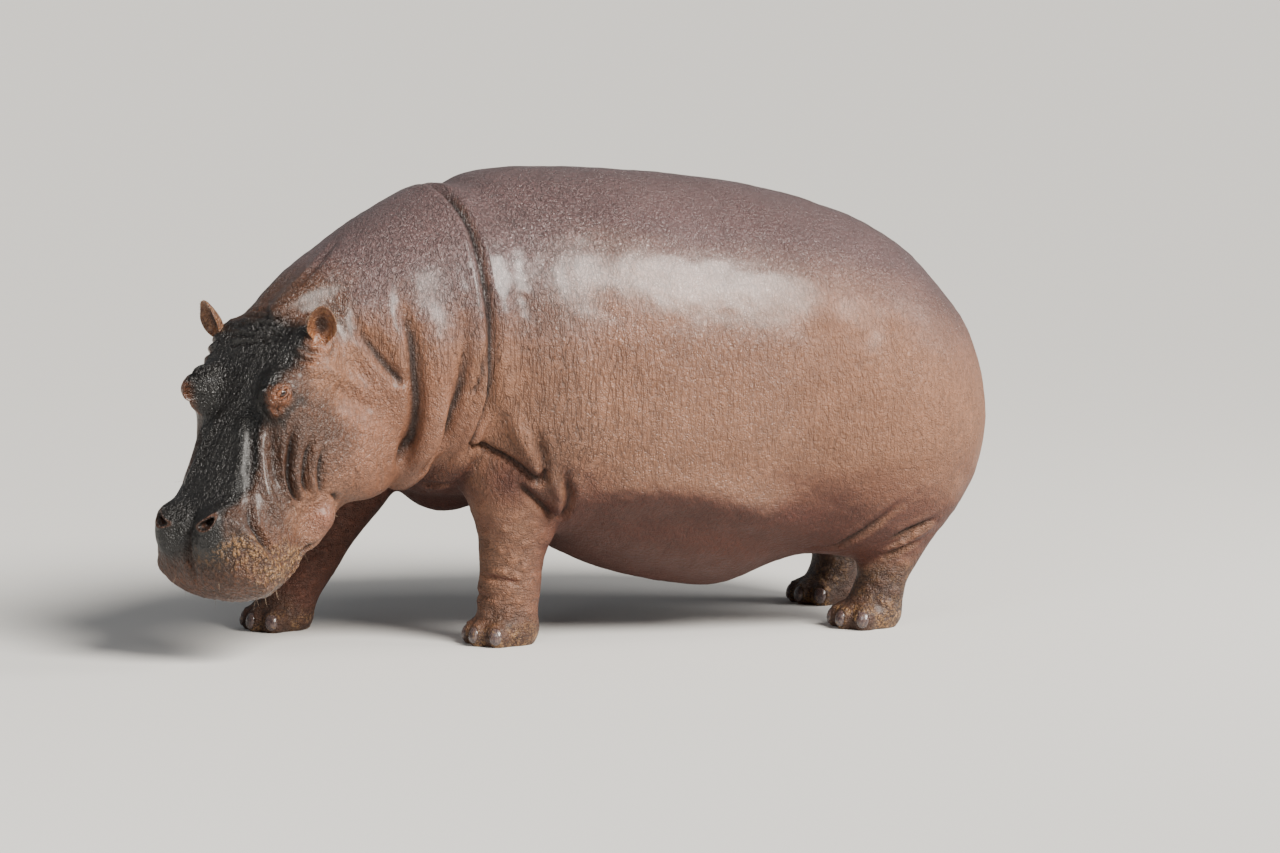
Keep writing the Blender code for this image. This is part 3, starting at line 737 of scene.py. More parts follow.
# each row: width, depth, lip and places in the head's frame, in millimetres
HEAD_FOLDS = (
    # brow and cheek bone, from over the eye back towards the jowl
    (22, -13, 0, (-50, 186, -5), (-101, 210, -46), (-130, 225, -109), (-145, 220, -184),
     (-147, 239, -246), (-152, 288, -336)),
    (30, 8, 0, (-85, 226, -130), (-100, 230, -190), (-105, 245, -260), (-110, 268, -320)),
    # rolls that hang below the eye, and the slots between them
    (11, -10, 0, (80, 188, -75), (137, 175, -109), (181, 173, -140), (225, 179, -170),
     (251, 185, -215), (260, 181, -267)),
    (9.2, 22, 0, (45, 205, -75), (112, 191, -109), (169, 180, -143), (210, 183, -171),
     (238, 187, -214), (245, 185, -262)),
    (12, -11, 0, (50, 214, -105), (120, 201, -137), (176, 193, -171), (215, 193, -212),
     (229, 190, -260)),
    (9.5, 21, 0, (50, 224, -152), (113, 213, -167), (158, 206, -190), (193, 201, -219),
     (213, 195, -264)),
    (12, -9, 0, (60, 226, -172), (128, 216, -200), (175, 208, -233), (201, 194, -293)),
    (12, 17, 0, (60, 230, -195), (128, 220, -230), (165, 211, -270), (187, 196, -313)),
    # snout: two ridges, the trough between them and the hollow beside them
    (15, -10, 0, (60, 36, -16), (107, 51, -26), (166, 72, -39), (242, 89, -51),
     (341, 106, -52)),
    (17, -13, 0, (60, 108, -35), (107, 119, -48), (175, 132, -75), (229, 150, -98),
     (278, 172, -127), (319, 188, -174), (366, 194, -241), (410, 178, -320)),
    (12, 12, 0, (80, 76, -28), (187, 109, -57), (260, 133, -73), (323, 145, -79)),
    (12, 11, 0, (70, 142, -42), (148, 150, -91), (212, 162, -128), (245, 174, -158)),
    # pocket between nose and cheek, and the rim of the lip pad beside it
    (11, 26, 0, (300, 142, -78), (372, 168, -96), (403, 190, -130), (421, 199, -175),
     (434, 200, -227)),
    (15, -11, 0, (375, 110, -35), (409, 150, -64), (427, 177, -104), (452, 198, -162),
     (462, 200, -229), (450, 180, -310)),
    # mouth line and the fold round its corner
    (9, 18, 5, (262, 185, -392), (310, 178, -382), (360, 185, -366), (440, 180, -348),
     (520, 120, -320), (556, 20, -298), (556, -20, -298)),
    (10, 14, 3, (250, 180, -440), (200, 196, -412), (160, 208, -372), (172, 205, -315)),
    # wrinkles at the jowl's lower edge
    (8, 4, 2, (118, 208, -402), (88, 235, -365), (69, 242, -318)),
    (8, 4, 2, (60, 205, -490), (30, 240, -430), (0, 255, -380)),
    # folds in front of the ear
    (8, 9, 3, (-160, 165, 5), (-150, 195, -25), (-165, 218, -60)),
    (9, 10, 3, (-250, 190, -95), (-205, 222, -100), (-165, 226, -92)),
    (8, 7, 3, (-135, 150, 2), (-120, 190, -18), (-130, 220, -60)),
)
# each row: how the two ends fade, width, depth, lip, lean and places, in millimetres
NECK_FOLDS = (
    # the big fold in front of the shoulder, and its far side
    ((0.12, 0.3), 12.5, 25, 4, 0, (400, -720, 540), (440, -690, 640), (471, -652, 764),
     (481, -647, 885), (470, -649, 1004), (426, -659, 1152), (340, -672, 1282),
     (217, -696, 1367), (100, -715, 1402), (-20, -722, 1410)),
    ((0.25, 0.3), 12, 14, 3, 0, (60, -718, 1406), (-100, -728, 1395), (-217, -735, 1340),
     (-330, -740, 1230), (-400, -740, 1080), (-430, -740, 900), (-420, -745, 720)),
    # behind the jowl
    ((0.35, 0.2), 20, 26, 4, 0.3, (390, -935, 1150), (430, -908, 1040), (452, -890, 960),
     (462, -883, 850), (457, -878, 755), (430, -882, 677), (390, -900, 598),
     (340, -930, 540)),
    # rear edge of the fore roll, which runs down and forward
    ((0.5, 0.15), 17, 24, 4, 0.3, (450, -722, 1080), (462, -728, 1000), (473, -730, 900),
     (470, -745, 797), (453, -764, 721), (420, -782, 643), (400, -817, 584),
     (350, -855, 519)),
    # rear edge of the hind roll
    ((0.5, 0.2), 14, 18, 3, 0.3, (486, -668, 950), (486, -672, 890), (486, -690, 820),
     (470, -722, 770)),
    # nape
    ((0.4, 0.3), 12, 11, 3, 0, (130, -985, 1275), (222, -1073, 1215), (270, -1122, 1177),
     (305, -1174, 1140), (333, -1231, 1093)),
    ((0.45, 0.2), 19, 21, 3, 0, (370, -1050, 1105), (416, -1045, 996), (436, -1008, 930),
     (448, -972, 880), (456, -934, 837), (460, -901, 805)),
    ((0.45, 0.45), 13, 10, 2, 0, (390, -1015, 1050), (425, -990, 965), (440, -960, 915),
     (450, -925, 870)),
    # throat
    ((0.3, 0.3), 14, 10, 3, 0, (330, -800, 480), (180, -820, 450), (20, -800, 450)),
    # stretched far side
    ((0.4, 0.4), 18, 10, 2, 0, (-240, -930, 1150), (-320, -900, 1000), (-340, -880, 820),
     (-300, -880, 640)),
    ((0.4, 0.4), 18, 10, 2, 0, (-120, -1060, 1120), (-200, -1060, 1000), (-220, -1060, 860),
     (-190, -1050, 720)),
)
HAUNCH_FOLDS = (
    # haunch and knee
    ((0.2, 0.5), 13, 19, 3, 0, (367, 393, 263), (385, 486, 261), (436, 532, 290),
     (477, 581, 330), (508, 635, 380), (530, 700, 440)),
    ((0.4, 0.35), 13, 25, 6, 0.5, (424, 640, 262), (447, 695, 297), (447, 762, 322),
     (429, 836, 352)),
    ((0.4, 0.4), 10, 13, 4, 0, (412, 640, 246), (430, 690, 272), (437, 730, 292),
     (436, 790, 318)),
    ((0.4, 0.4), 10, 14, 4, 0, (375, 630, 216), (400, 680, 238), (412, 735, 262),
     (408, 790, 282)),
    ((0.3, 0.3), 11, 14, 4, 0, (350, 860, 300), (280, 890, 300), (200, 880, 310)),
    ((0.3, 0.3), 11, 12, 3, 0, (160, 780, 230), (190, 700, 215), (170, 620, 235)),
)
SHOULDER_FOLDS = (
    # shoulder's front edge, which hangs over the elbow as a flap
    ((0.3, 0.1), 28, -11, 0, 0, (431, -600, 1151), (470, -600, 1000), (479, -598, 823),
     (462, -592, 701)),
    ((0.4, 0.05), 28, -21, 0, 0, (470, -585, 760), (458, -560, 690), (460, -535, 630),
     (462, -510, 580), (455, -488, 530)),
    ((0.25, 0.08), 12, 28, 0, 0, (430, -720, 633), (425, -680, 615), (415, -641, 602),
     (428, -604, 589), (443, -562, 565), (450, -517, 531), (444, -473, 492)),
    ((0.5, 0.05), 14, 22, 3, 0, (497, -520, 700), (490, -502, 640), (481, -486, 593),
     (466, -475, 546), (447, -471, 499)),
    # second flap
    ((0.4, 0.08), 19, -17, 0, 0, (474, -455, 560), (458, -438, 500), (436, -425, 450),
     (395, -412, 402)),
    ((0.35, 0.08), 11, 27, 0, 0, (440, -550, 512), (432, -530, 484), (424, -492, 451),
     (408, -455, 421), (384, -421, 390)),
    ((0.45, 0.08), 14, 20, 3, 0, (478, -415, 580), (470, -408, 530), (454, -398, 488),
     (432, -386, 448), (400, -388, 409), (375, -398, 382)),
    # across the breast
    ((0.3, 0.3), 9, 10, 3, 0, (215, -790, 496), (297, -752, 494), (360, -690, 470)),
    # wrist
    ((0.3, 0.3), 10, 8, 3, 0, (370, -545, 150), (330, -625, 152), (270, -640, 150),
     (205, -600, 155)),
    ((0.3, 0.3), 8, 6, 3, 0, (374, -500, 185), (360, -590, 205), (300, -640, 215)),
    # far foreleg and its armpit
    ((0.3, 0.3), 13, 16, 5, 0, (-330, -640, 560), (-370, -720, 500), (-350, -800, 430)),
    ((0.3, 0.3), 13, 14, 5, 0, (-170, -800, 500), (-180, -880, 520), (-240, -930, 530)),
    ((0.3, 0.3), 9, 7, 3, 0, (-360, -1080, 150), (-320, -1170, 155), (-250, -1180, 155),
     (-185, -1120, 150)),
)


class ReliefMap:
    """All the folds, creases and bumps of the body."""

    def head_lines(self, side: int) -> list[SkinLine]:
        """Folds and ridges of one side of the head.

        Args:
            side: 1 for the animal's left, -1 for its right.

        Returns:
            The lines.
        """
        # head creases reach their full painted shade at a shallow depth
        return [SkinLine(on_head(side, metres(places)), width / 1000, depth / 1000, lip / 1000,
                         full_shade_depth=0.016) for width, depth, lip, *places in HEAD_FOLDS]

    def head_middle(self) -> list[SkinLine]:
        """Lines that lie in the middle of the head."""
        groove = on_head(1, metres(((370, 0, -40), (451, 0, -55), (526, 0, -110), (560, 0, -190))))
        lines = [SkinLine(groove, 0.012, 0.012, 0.004, ends=(0.3, 0.3))]
        for step, (along, drop, reach) in enumerate((
                (-0.262, -0.012, 0.120), (-0.238, 0.002, 0.135), (-0.214, 0.004, 0.120),
                (-0.192, 0.008, 0.130), (-0.170, 0.008, 0.105), (-0.150, 0.008, 0.090))):
            sway = 0.012 * math.sin(2.3 * step)
            row = tuple((along + sway * share, reach * share, drop - 0.02 * share * share)
                        for share in (-1.0, -0.4, 0.2, 1.0))
            lines.append(SkinLine(on_head(1, row), 0.0075, 0.006, 0.003, 0.4))
        return lines

    def neck_lines(self) -> list[SkinLine]:
        """Folds of the neck and nape."""
        return SkinLine.told(NECK_FOLDS)

    def limb_lines(self) -> list[SkinLine]:
        """Folds where the limbs leave the trunk, and on the limbs."""
        belly = metres(((385, -437, 384), (449, -292, 446), (494, -180, 477), (517, -59, 475),
                        (522, 69, 450), (512, 203, 404), (452, 359, 329), (401, 479, 290)))
        under = tuple((x * 0.86, y, z - 0.115) for x, y, z in belly[1:-1])
        hollows = [SkinLine(belly, 0.065, -0.014), SkinLine(under, 0.055, 0.010, ends=(0.3, 0.3))]
        hollows += SkinLine.told(HAUNCH_FOLDS)
        lines = []
        for line in hollows:
            places = mirrored(line.places, 0.10)
            lines += [line, replace(line, places=places, lean=-line.lean)]
        # shoulder and limb creases reach their full painted shade only when deeper, so it stays
        # soft
        return lines + SkinLine.told(SHOULDER_FOLDS, full_shade_depth=0.036)

    def rump_lines(self) -> list[SkinLine]:
        """Folds round the tail's root and between the buttocks."""
        cleft = ((0.3, 0.3), 22, 18, 6, 0, (0, 1035, 700), (0, 1020, 560), (0, 940, 440))
        roots = [((0.3, 0.3), 12, 10, 4, 0, (60 * side, 985, 960), (85 * side, 1010, 880),
                  (75 * side, 1025, 780)) for _, side in SIDES]
        return SkinLine.told([cleft, *roots])

    def swellings(self) -> list[Swelling]:
        """Single soft bumps and hollows."""
        rows = metres(((232, 200, -350, 34, 16), (395, 155, -60, 45, 6), (60, 110, -30, 50, -12),
                       (335, 60, -40, 45, -6), (10, 60, -4, 60, -10), (-95, 160, 4, 35, -12),
                       (440, 88, -30, 50, 6), (60, 238, -300, 110, 12)))
        return [Swelling((0.352, -0.432, 0.335), 0.035, 0.014)] + [
            Swelling(tuple(HEAD.at(forward, out * side, up)), radius, height)
            for _, side in SIDES for forward, out, up, radius, height in rows]

    def lines(self) -> list[SkinLine]:
        """Every crease and ridge."""
        return (self.head_lines(1) + self.head_lines(-1) + self.head_middle() + self.neck_lines()
                + self.limb_lines() + self.rump_lines())


# ---------- mesh tools
class Modeller:
    """Modelling steps on Blender objects, done with its own operators."""

    @staticmethod
    def deselect() -> None:
        """Leaves edit mode and clears the selection."""
        if bpy.context.object and bpy.context.object.mode != "OBJECT":
            bpy.ops.object.mode_set(mode="OBJECT")
        bpy.ops.object.select_all(action="DESELECT")

    @staticmethod
    def activate(item: Object) -> None:
        """Makes one object the only selected and active one."""
        Modeller.deselect()
        item.select_set(True)
        bpy.context.view_layer.objects.active = item

    @staticmethod
    @contextmanager
    def editing(item: Object) -> Iterator[None]:
        """Edit mode on one object, and object mode again afterwards."""
        Modeller.activate(item)
        bpy.ops.object.mode_set(mode="EDIT")
        yield
        bpy.ops.object.mode_set(mode="OBJECT")

    @staticmethod
    def read(rows: bpy.types.bpy_prop_collection, name: str, width: int = 3,
             kind: type = float) -> Array:
        """What every element of a mesh holds.

        Args:
            rows: the mesh's vertices, edges or faces.
            name: the property that is read.
            width: how many numbers it has.
            kind: type of the numbers.

        Returns:
            The numbers, a row for each element.
        """
        flat = np.empty(len(rows) * width, kind)
        rows.foreach_get(name, flat)
        return flat.reshape(-1, width)

    @staticmethod
    def places(item: Object) -> Array:
        """All vertex places of an object's mesh, one a row."""
        return Modeller.read(item.data.vertices, "co")

    @staticmethod
    def normals(item: Object) -> Array:
        """Outward direction at each vertex, one a row."""
        return Modeller.read(item.data.vertex_normals, "vector")

    @staticmethod
    def set_places(item: Object, points: Array) -> None:
        """Moves every vertex of an object's mesh."""
        item.data.vertices.foreach_set("co", np.asarray(points, float).ravel())
        item.data.update()

    @staticmethod
    def ball(name: str, place: Callable[[Array], Array], segments: int, rings: int) -> Object:
        """A UV sphere whose points are laid where place() says.

        Args:
            name: the object's name.
            place: turns points of a unit ball into places.
            segments: faces round the ball.
            rings: faces from pole to pole.

        Returns:
            The new object.
        """
        Modeller.deselect()
        bpy.ops.mesh.primitive_uv_sphere_add(segments=segments, ring_count=rings, radius=1.0,
                                             location=(0, 0, 0))
        item = bpy.context.object
        item.name = name
        item.data.name = name
        Modeller.set_places(item, place(Modeller.places(item)))
        Modeller.face_outwards(item)
        return item

    @staticmethod
    def face_outwards(item: Object) -> None:
        """Turns every face of a closed mesh outwards."""
        with Modeller.editing(item):
            bpy.ops.mesh.select_all(action="SELECT")
            bpy.ops.mesh.normals_make_consistent(inside=False)

    @staticmethod
    def join(items: Sequence[Object], name: str) -> Object:
        """Several objects as one.

        Args:
            items: the objects.
            name: the new one's name.

        Returns:
            The joined object.
        """
        Modeller.deselect()
        for item in items:
            item.select_set(True)
        bpy.context.view_layer.objects.active = items[0]
        if len(items) > 1:
            bpy.ops.object.join()
        joined = bpy.context.object
        joined.name = name
        joined.data.name = name
        return joined

    @staticmethod
    def apply(item: Object, kind: str, **settings: object) -> None:
        """Adds a modifier and applies it.

        Args:
            item: the object.
            kind: the modifier's type.
            settings: its properties.
        """
        Modeller.activate(item)
        modifier = item.modifiers.new(kind.lower(), kind)
        for key, value in settings.items():
            setattr(modifier, key, value)
        bpy.ops.object.modifier_apply(modifier=modifier.name)

    @staticmethod
    def face_middles(item: Object) -> Array:
        """Middle of each face, one a row."""
        return Modeller.read(item.data.polygons, "center")

    @staticmethod
    def subdivide(item: Object, chosen: Array) -> None:
        """Splits the chosen faces in four.

        Args:
            item: the object.
            chosen: True for each face to split.
        """
        mesh = item.data
        mesh.vertices.foreach_set("select", np.zeros(len(mesh.vertices), bool))
        mesh.edges.foreach_set("select", np.zeros(len(mesh.edges), bool))
        mesh.polygons.foreach_set("select", np.asarray(chosen, bool))
        bpy.context.tool_settings.mesh_select_mode = (False, False, True)
        with Modeller.editing(item):
            bpy.ops.mesh.subdivide(number_cuts=1, ngon=False, quadcorner="INNERVERT")

    @staticmethod
    def relax(item: Object, chosen: Optional[Array], factor: float, repeat: int,
              grow: int = 0) -> None:
        """Evens out the chosen vertices, or all where chosen is None.

        Args:
            item: the object.
            chosen: True for each vertex to smooth.
            factor: strength of each pass.
            repeat: number of passes.
            grow: how many rings the choice is widened by first.
        """
        mesh = item.data
        bpy.context.tool_settings.mesh_select_mode = (True, False, False)
        if chosen is not None:
            mesh.polygons.foreach_set("select", np.zeros(len(mesh.polygons), bool))
            mesh.edges.foreach_set("select", np.zeros(len(mesh.edges), bool))
            mesh.vertices.foreach_set("select", np.asarray(chosen, bool))
        with Modeller.editing(item):
            if chosen is None:
                bpy.ops.mesh.select_all(action="SELECT")
            for _ in range(grow):
                bpy.ops.mesh.select_more()
            bpy.ops.mesh.vertices_smooth(factor=factor, repeat=repeat)

    @staticmethod
    def smooth(item: Object) -> Object:
        """The object with smooth shading all over."""
        Modeller.activate(item)
        bpy.ops.object.shade_smooth()
        return item

    @staticmethod
    def write_attribute(item: Object, name: str, values: Array) -> None:
        """Stores four values for each vertex as a colour attribute."""
        layer = item.data.attributes.new(name, "FLOAT_COLOR", "POINT")
        layer.data.foreach_set("color", np.asarray(values, np.float32).ravel())


# ---------- fine places
def square_axes(outward: Vec3, length: Vec3, toward: Array) -> tuple[Array, Array, Array]:
    """Three square directions of an opening in the head's skin.

    Args:
        outward: the way the opening faces, in the head's frame.
        length: roughly the way of its long side, in the head's frame.
        toward: world direction on the side where its height points.

    Returns:
        World directions outwards, along its length and along its height.
    """
    facing = unit(np.array(outward) @ HEAD.axes)
    long_way = unit(np.array(length) @ HEAD.axes)
    long_way = unit(long_way - np.dot(long_way, facing) * facing)
    height = np.cross(facing, long_way)
    return facing, long_way, height * np.sign(np.dot(height, toward))


@dataclass(frozen=True)
class EyeLids:
    """Wrinkled lids round one eye, with an almond opening over the eyeball."""

    side: int
    half_length: float = 0.0205
    half_height: float = 0.0078
    thickness: float = 0.0036
    dome_radius: float = 0.036
    blend: float = 0.024
    reach: float = 0.085             # how far round the eye the skin is shaped
    snap: float = 0.0007             # points this near the opening's edge are put on it

    def axes(self) -> tuple[Array, Array, Array, Array]:
        """Middle of the ball, direction of the opening's length, its height, and outward."""
        outward, length, height = square_axes((0.14, 0.93 * self.side, 0.34), (0.97, 0.0, 0.26),
                                              HEAD.upward)
        return BUILD.eye_middle(self.side), length, height, outward

    def opening(self, x: Array, y: Array) -> Array:
        """Distance from the almond's edge, less than zero inside it."""
        radius = (self.half_length ** 2 + self.half_height ** 2) / (2 * self.half_height)
        drop = radius - self.half_height
        return np.maximum(np.hypot(x, y + drop), np.hypot(x, y - drop)) - radius

    def shape(self, points: Array) -> tuple[Array, Array, Array]:
        """Lids formed in the skin.

        Args:
            points: all the skin's places.

        Returns:
            The places with lids, how much each one belongs to the lids, and how much painted crease
            shade it gets.
        """
        middle, length, height, outward = self.axes()
        offset = points - middle
        x, y, z = offset @ length, offset @ height, offset @ outward
        near = np.flatnonzero((np.hypot(x, y) < self.reach) & (z > -0.05))
        x, y, z = x[near], y[near], z[near]
        edge = self.opening(x, y)
        pull = np.where(np.abs(edge) < self.snap, -edge, 0.0)
        y = y + pull * np.sign(y)
        edge = np.where(np.abs(edge) < self.snap, 0.0, edge)
        radial = np.hypot(0.80 * (x - 0.004), y)
        outer = self.dome_radius
        dome = np.sqrt(np.maximum(outer ** 2 - radial ** 2, 0.0)) - (outer - BUILD.eye_radius
                                                                     - self.thickness)
        meet = np.maximum(self.blend - np.abs(z - dome), 0.0) / self.blend
        lifted = np.maximum(z, dome) + meet ** 2 * self.blend / 4
        lifted = z + (lifted - z) * (1 - ramp(radial, 0.045, 0.075))
        wander = 0.0016 * np.sin(70 * x + 2 * self.side) + 0.0012 * np.sin(130 * x)
        creased = np.zeros(len(near))
        for level, width, depth, half in ((0.0085, 0.0026, 0.0034, 1), (0.0070, 0.0024, 0.0030, -1),
                                          (0.0180, 0.0034, 0.0018, 1)):
            crease = bell(edge - level - wander, width) * (y * half > 0)
            crease = crease * (1 - ramp(np.abs(x), 0.010, 0.028))
            lifted -= depth * crease
            creased = np.maximum(creased, crease * (0.9 if level < 0.010 else 0.3))
        for slant, place in ((0.9, 0.018), (0.6, 0.027), (1.3, 0.036), (0.5, -0.036)):
            away = (x - place) + slant * (y + 0.010) + wander
            reach = ramp(-y, 0.002, 0.010) * ramp(radial, 0.062, 0.040)
            lifted -= 0.0030 * bell(away, 0.0030) * reach
            creased = np.maximum(creased, 0.8 * bell(away, 0.0034) * reach)
        lifted += 0.0014 * bell(edge - 0.0024, 0.0018)
        lumpy = ramp(edge, 0.003, 0.010) * ramp(edge, 0.05, 0.03)
        lifted += 0.0018 * lumps(points[near], 0.013, 4.0) * lumpy
        lifted -= ramp(-edge, -0.0001, 0.0016) * (self.thickness + 0.0065)
        moved = points.copy()
        moved[near] = (middle + np.outer(x, length) + np.outer(y, height)
                       + np.outer(lifted, outward))
        share, lines = np.zeros((2, len(points)))
        ragged = 0.006 * lumps(points[near], 0.018, 6.0)
        share[near] = 1 - ramp(edge - 0.45 * x + 0.20 * y + ragged, 0.004, 0.050)
        # painted shade along the lids' creases and the wrinkles below the eye
        lines[near] = 0.75 * creased
        return moved, share, lines

    def wide(self, points: Array) -> Array:
        """Distance of points from the ball's middle."""
        return np.linalg.norm(points - BUILD.eye_middle(self.side), axis=1)


@dataclass(frozen=True)
class Nostril:
    """One nostril: a slanted opening with a raised rim."""

    side: int
    place: Vec3 = (0.440, 0.092, -0.030)
    half_length: float = 0.0270
    half_height: float = 0.0125
    depth: float = 0.036
    rim: float = 0.012

    def middle(self, clay: Clay) -> Array:
        """The opening's middle, on the skin."""
        near = HEAD.at(self.place[0], self.place[1] * self.side, self.place[2])
        return clay.settle(near[None, :], 5)[0]

    def shape(self, points: Array, clay: Clay) -> tuple[Array, Array]:
        """Nostril pressed into the skin.

        Args:
            points: all the skin's places.
            clay: the body under the skin.

        Returns:
            The places with the opening, and how far inside it each one lies.
        """
        middle = self.middle(clay)
        outward, length, height = square_axes((0.50, 0.22 * self.side, 0.84),
                                              (-0.62, 0.78 * self.side, 0.0), HEAD.forward)
        offset = points - middle
        x, y, z = offset @ length, offset @ height, offset @ outward
        near = np.flatnonzero((np.hypot(x, y) < 0.065) & (np.abs(z) < 0.05))
        x, y = x[near], y[near]
        bend = y + 0.010 * (x / self.half_length) ** 2 * 0.6
        ring = np.hypot(x / self.half_length, bend / self.half_height)
        hole = ramp(ring, 1.05, 0.45)
        rear = 1.0 - 0.45 * ramp(bend, -0.006, 0.010)
        raised = self.rim * bell(ring - 1.50, 0.50) * rear
        moved = points.copy()
        inward = -outward - 0.35 * HEAD.forward
        moved[near] += np.outer(raised, outward) + np.outer(self.depth * hole, unit(inward))
        share = np.zeros(len(points))
        # deep inside the opening this share is later painted dark as shade; the faint ring only
        # colours the rim
        share[near] = np.maximum(hole, 0.24 * bell(ring - 1.35, 0.35))
        return moved, share


@dataclass(frozen=True)
class NailBed:
    """Place of one nail, and the skin's hollow and cuticle round it."""

    leg: str
    angle: float

    def frame(self) -> Frame:
        """Frame in the nail's middle, leaning back a little."""
        frame = toe_frame(FEET[self.leg], self.angle)
        lean = tilted(frame.axes, 1, math.radians(-14))
        middle = frame.at(BUILD.toe_radius - 0.006, 0.0, BUILD.nail_rise)
        return Frame(middle, lean[0], lean[1])

    def press(self, points: Array) -> tuple[Array, Array]:
        """Cuticle and hollow pressed into the skin.

        Args:
            points: places on the skin.

        Returns:
            The rows touched, and how far each is raised.
        """
        local = self.frame().inside(points)
        near = np.flatnonzero((np.abs(local[:, 0]) < 0.03)
                              & (np.hypot(local[:, 1], local[:, 2]) < 0.05))
        local = local[near]
        ring = np.hypot(local[:, 1] / BUILD.nail_size[0], local[:, 2] / BUILD.nail_size[2])
        front = ramp(local[:, 0], -0.006, 0.006)
        return near, front * (0.0032 * bell(ring - 1.22, 0.20) - 0.0050 * ramp(ring, 1.06, 0.85))


NAIL_BEDS = {f"nail_{leg}_{number}": NailBed(leg, angle)
             for leg in FEET for number, angle in enumerate(TOE_ANGLES, start=1)}


@dataclass(frozen=True)
class EarShape:
    """One small round ear: a thick-rimmed cup on a short foot."""

    side: int
    cup: float = 0.028
    wall: float = 0.0046
    half_width: float = 0.042
    half_height: float = 0.069

    def axes(self) -> tuple[Array, Array, Array, Array]:
        """Middle, across, opening and upward. The right ear is turned more to the front."""
        faces = (0.62, 0.52, 0.25) if self.side > 0 else (0.80, -0.12, 0.35)
        upward = unit(HEAD.axes.T @ np.array([-0.62, 0.30 * self.side, 0.72]))
        opening = HEAD.axes.T @ np.array(faces)
        opening = unit(opening - np.dot(opening, upward) * upward)
        across = np.cross(upward, opening)
        outer = 0.016 * (1 + self.side) / 2
        middle = (HEAD.at(BUILD.ear_place[0] - outer, BUILD.ear_place[1] * self.side + outer,
                          BUILD.ear_place[2] - outer)
                  + upward * (BUILD.ear_size[2] * 0.55 + 0.004))
        return middle, across, opening, upward

    def place(self, ball: Array) -> Array:
        """Points of a unit ball laid on the ear.

        Args:
            ball: the ball's points, one a row.

        Returns:
            Their places.
        """
        middle, across, opening, upward = self.axes()
        wide, thick, tall = ball[:, 0], ball[:, 1], ball[:, 2]
        radial = np.minimum(wide ** 2 + tall ** 2, 1.0)
        narrow = 0.60 + 0.46 * ramp(tall, -0.95, -0.05) - 0.16 * ramp(tall, 0.25, 1.0)
        hollow = -self.cup * (1.0 - radial) ** 1.2 * (0.70 + 0.30 * ramp(-tall, -0.4, 0.6))
        ridge = (0.005 * bell(wide - 0.15 - 0.25 * tall, 0.16) * ramp(radial, 0.85, 0.45)
                 * (thick > 0))
        wall = np.sign(thick) * self.wall * np.minimum(np.abs(thick) / 0.30, 1.0) ** 0.6
        foot = ramp(tall, -0.50, -0.95)
        wall = wall * (1 - foot) + foot * np.where(thick > 0, 0.014, -0.008) * np.abs(thick)
        roll = 0.008 * ramp(np.abs(wide), 0.50, 1.0) * (1.0 - ramp(tall, 0.2, 0.8))
        return (middle + np.outer(wide * narrow * self.half_width, across)
                + np.outer(hollow + wall + ridge + roll + 0.004, opening)
                + np.outer(tall * self.half_height, upward))


class TailShape:
    """Short tail, thick at the root and flat towards its end."""

    form = Loft(BUILD.tail_root, BUILD.tail_axis, (0, 1, 0), [
        (-90, 0, 0, 0, 0), (0, 46, 0, 40, -40), (140, 38, 0, 26, -26),
        (280, 34, 0, 17, -17), (380, 30, 0, 12, -12), (430, 0, 0, 0, 0)],
        0.0)

    def place(self, ball: Array) -> Array:
        """Points of a unit ball laid on the tail, with shallow rings in its skin.

        Args:
            ball: the ball's points, one a row.

        Returns:
            Their places.
        """
        points = self.form.place(ball)
        along = (points - self.form.origin) @ self.form.along
        axis = self.form.origin + np.outer(along, self.form.along)
        rings = 1.0 + 0.05 * np.sin(2 * np.pi * along / 0.020) * ramp(along, 0.0, 0.06)
        return axis + (points - axis) * rings[:, None]


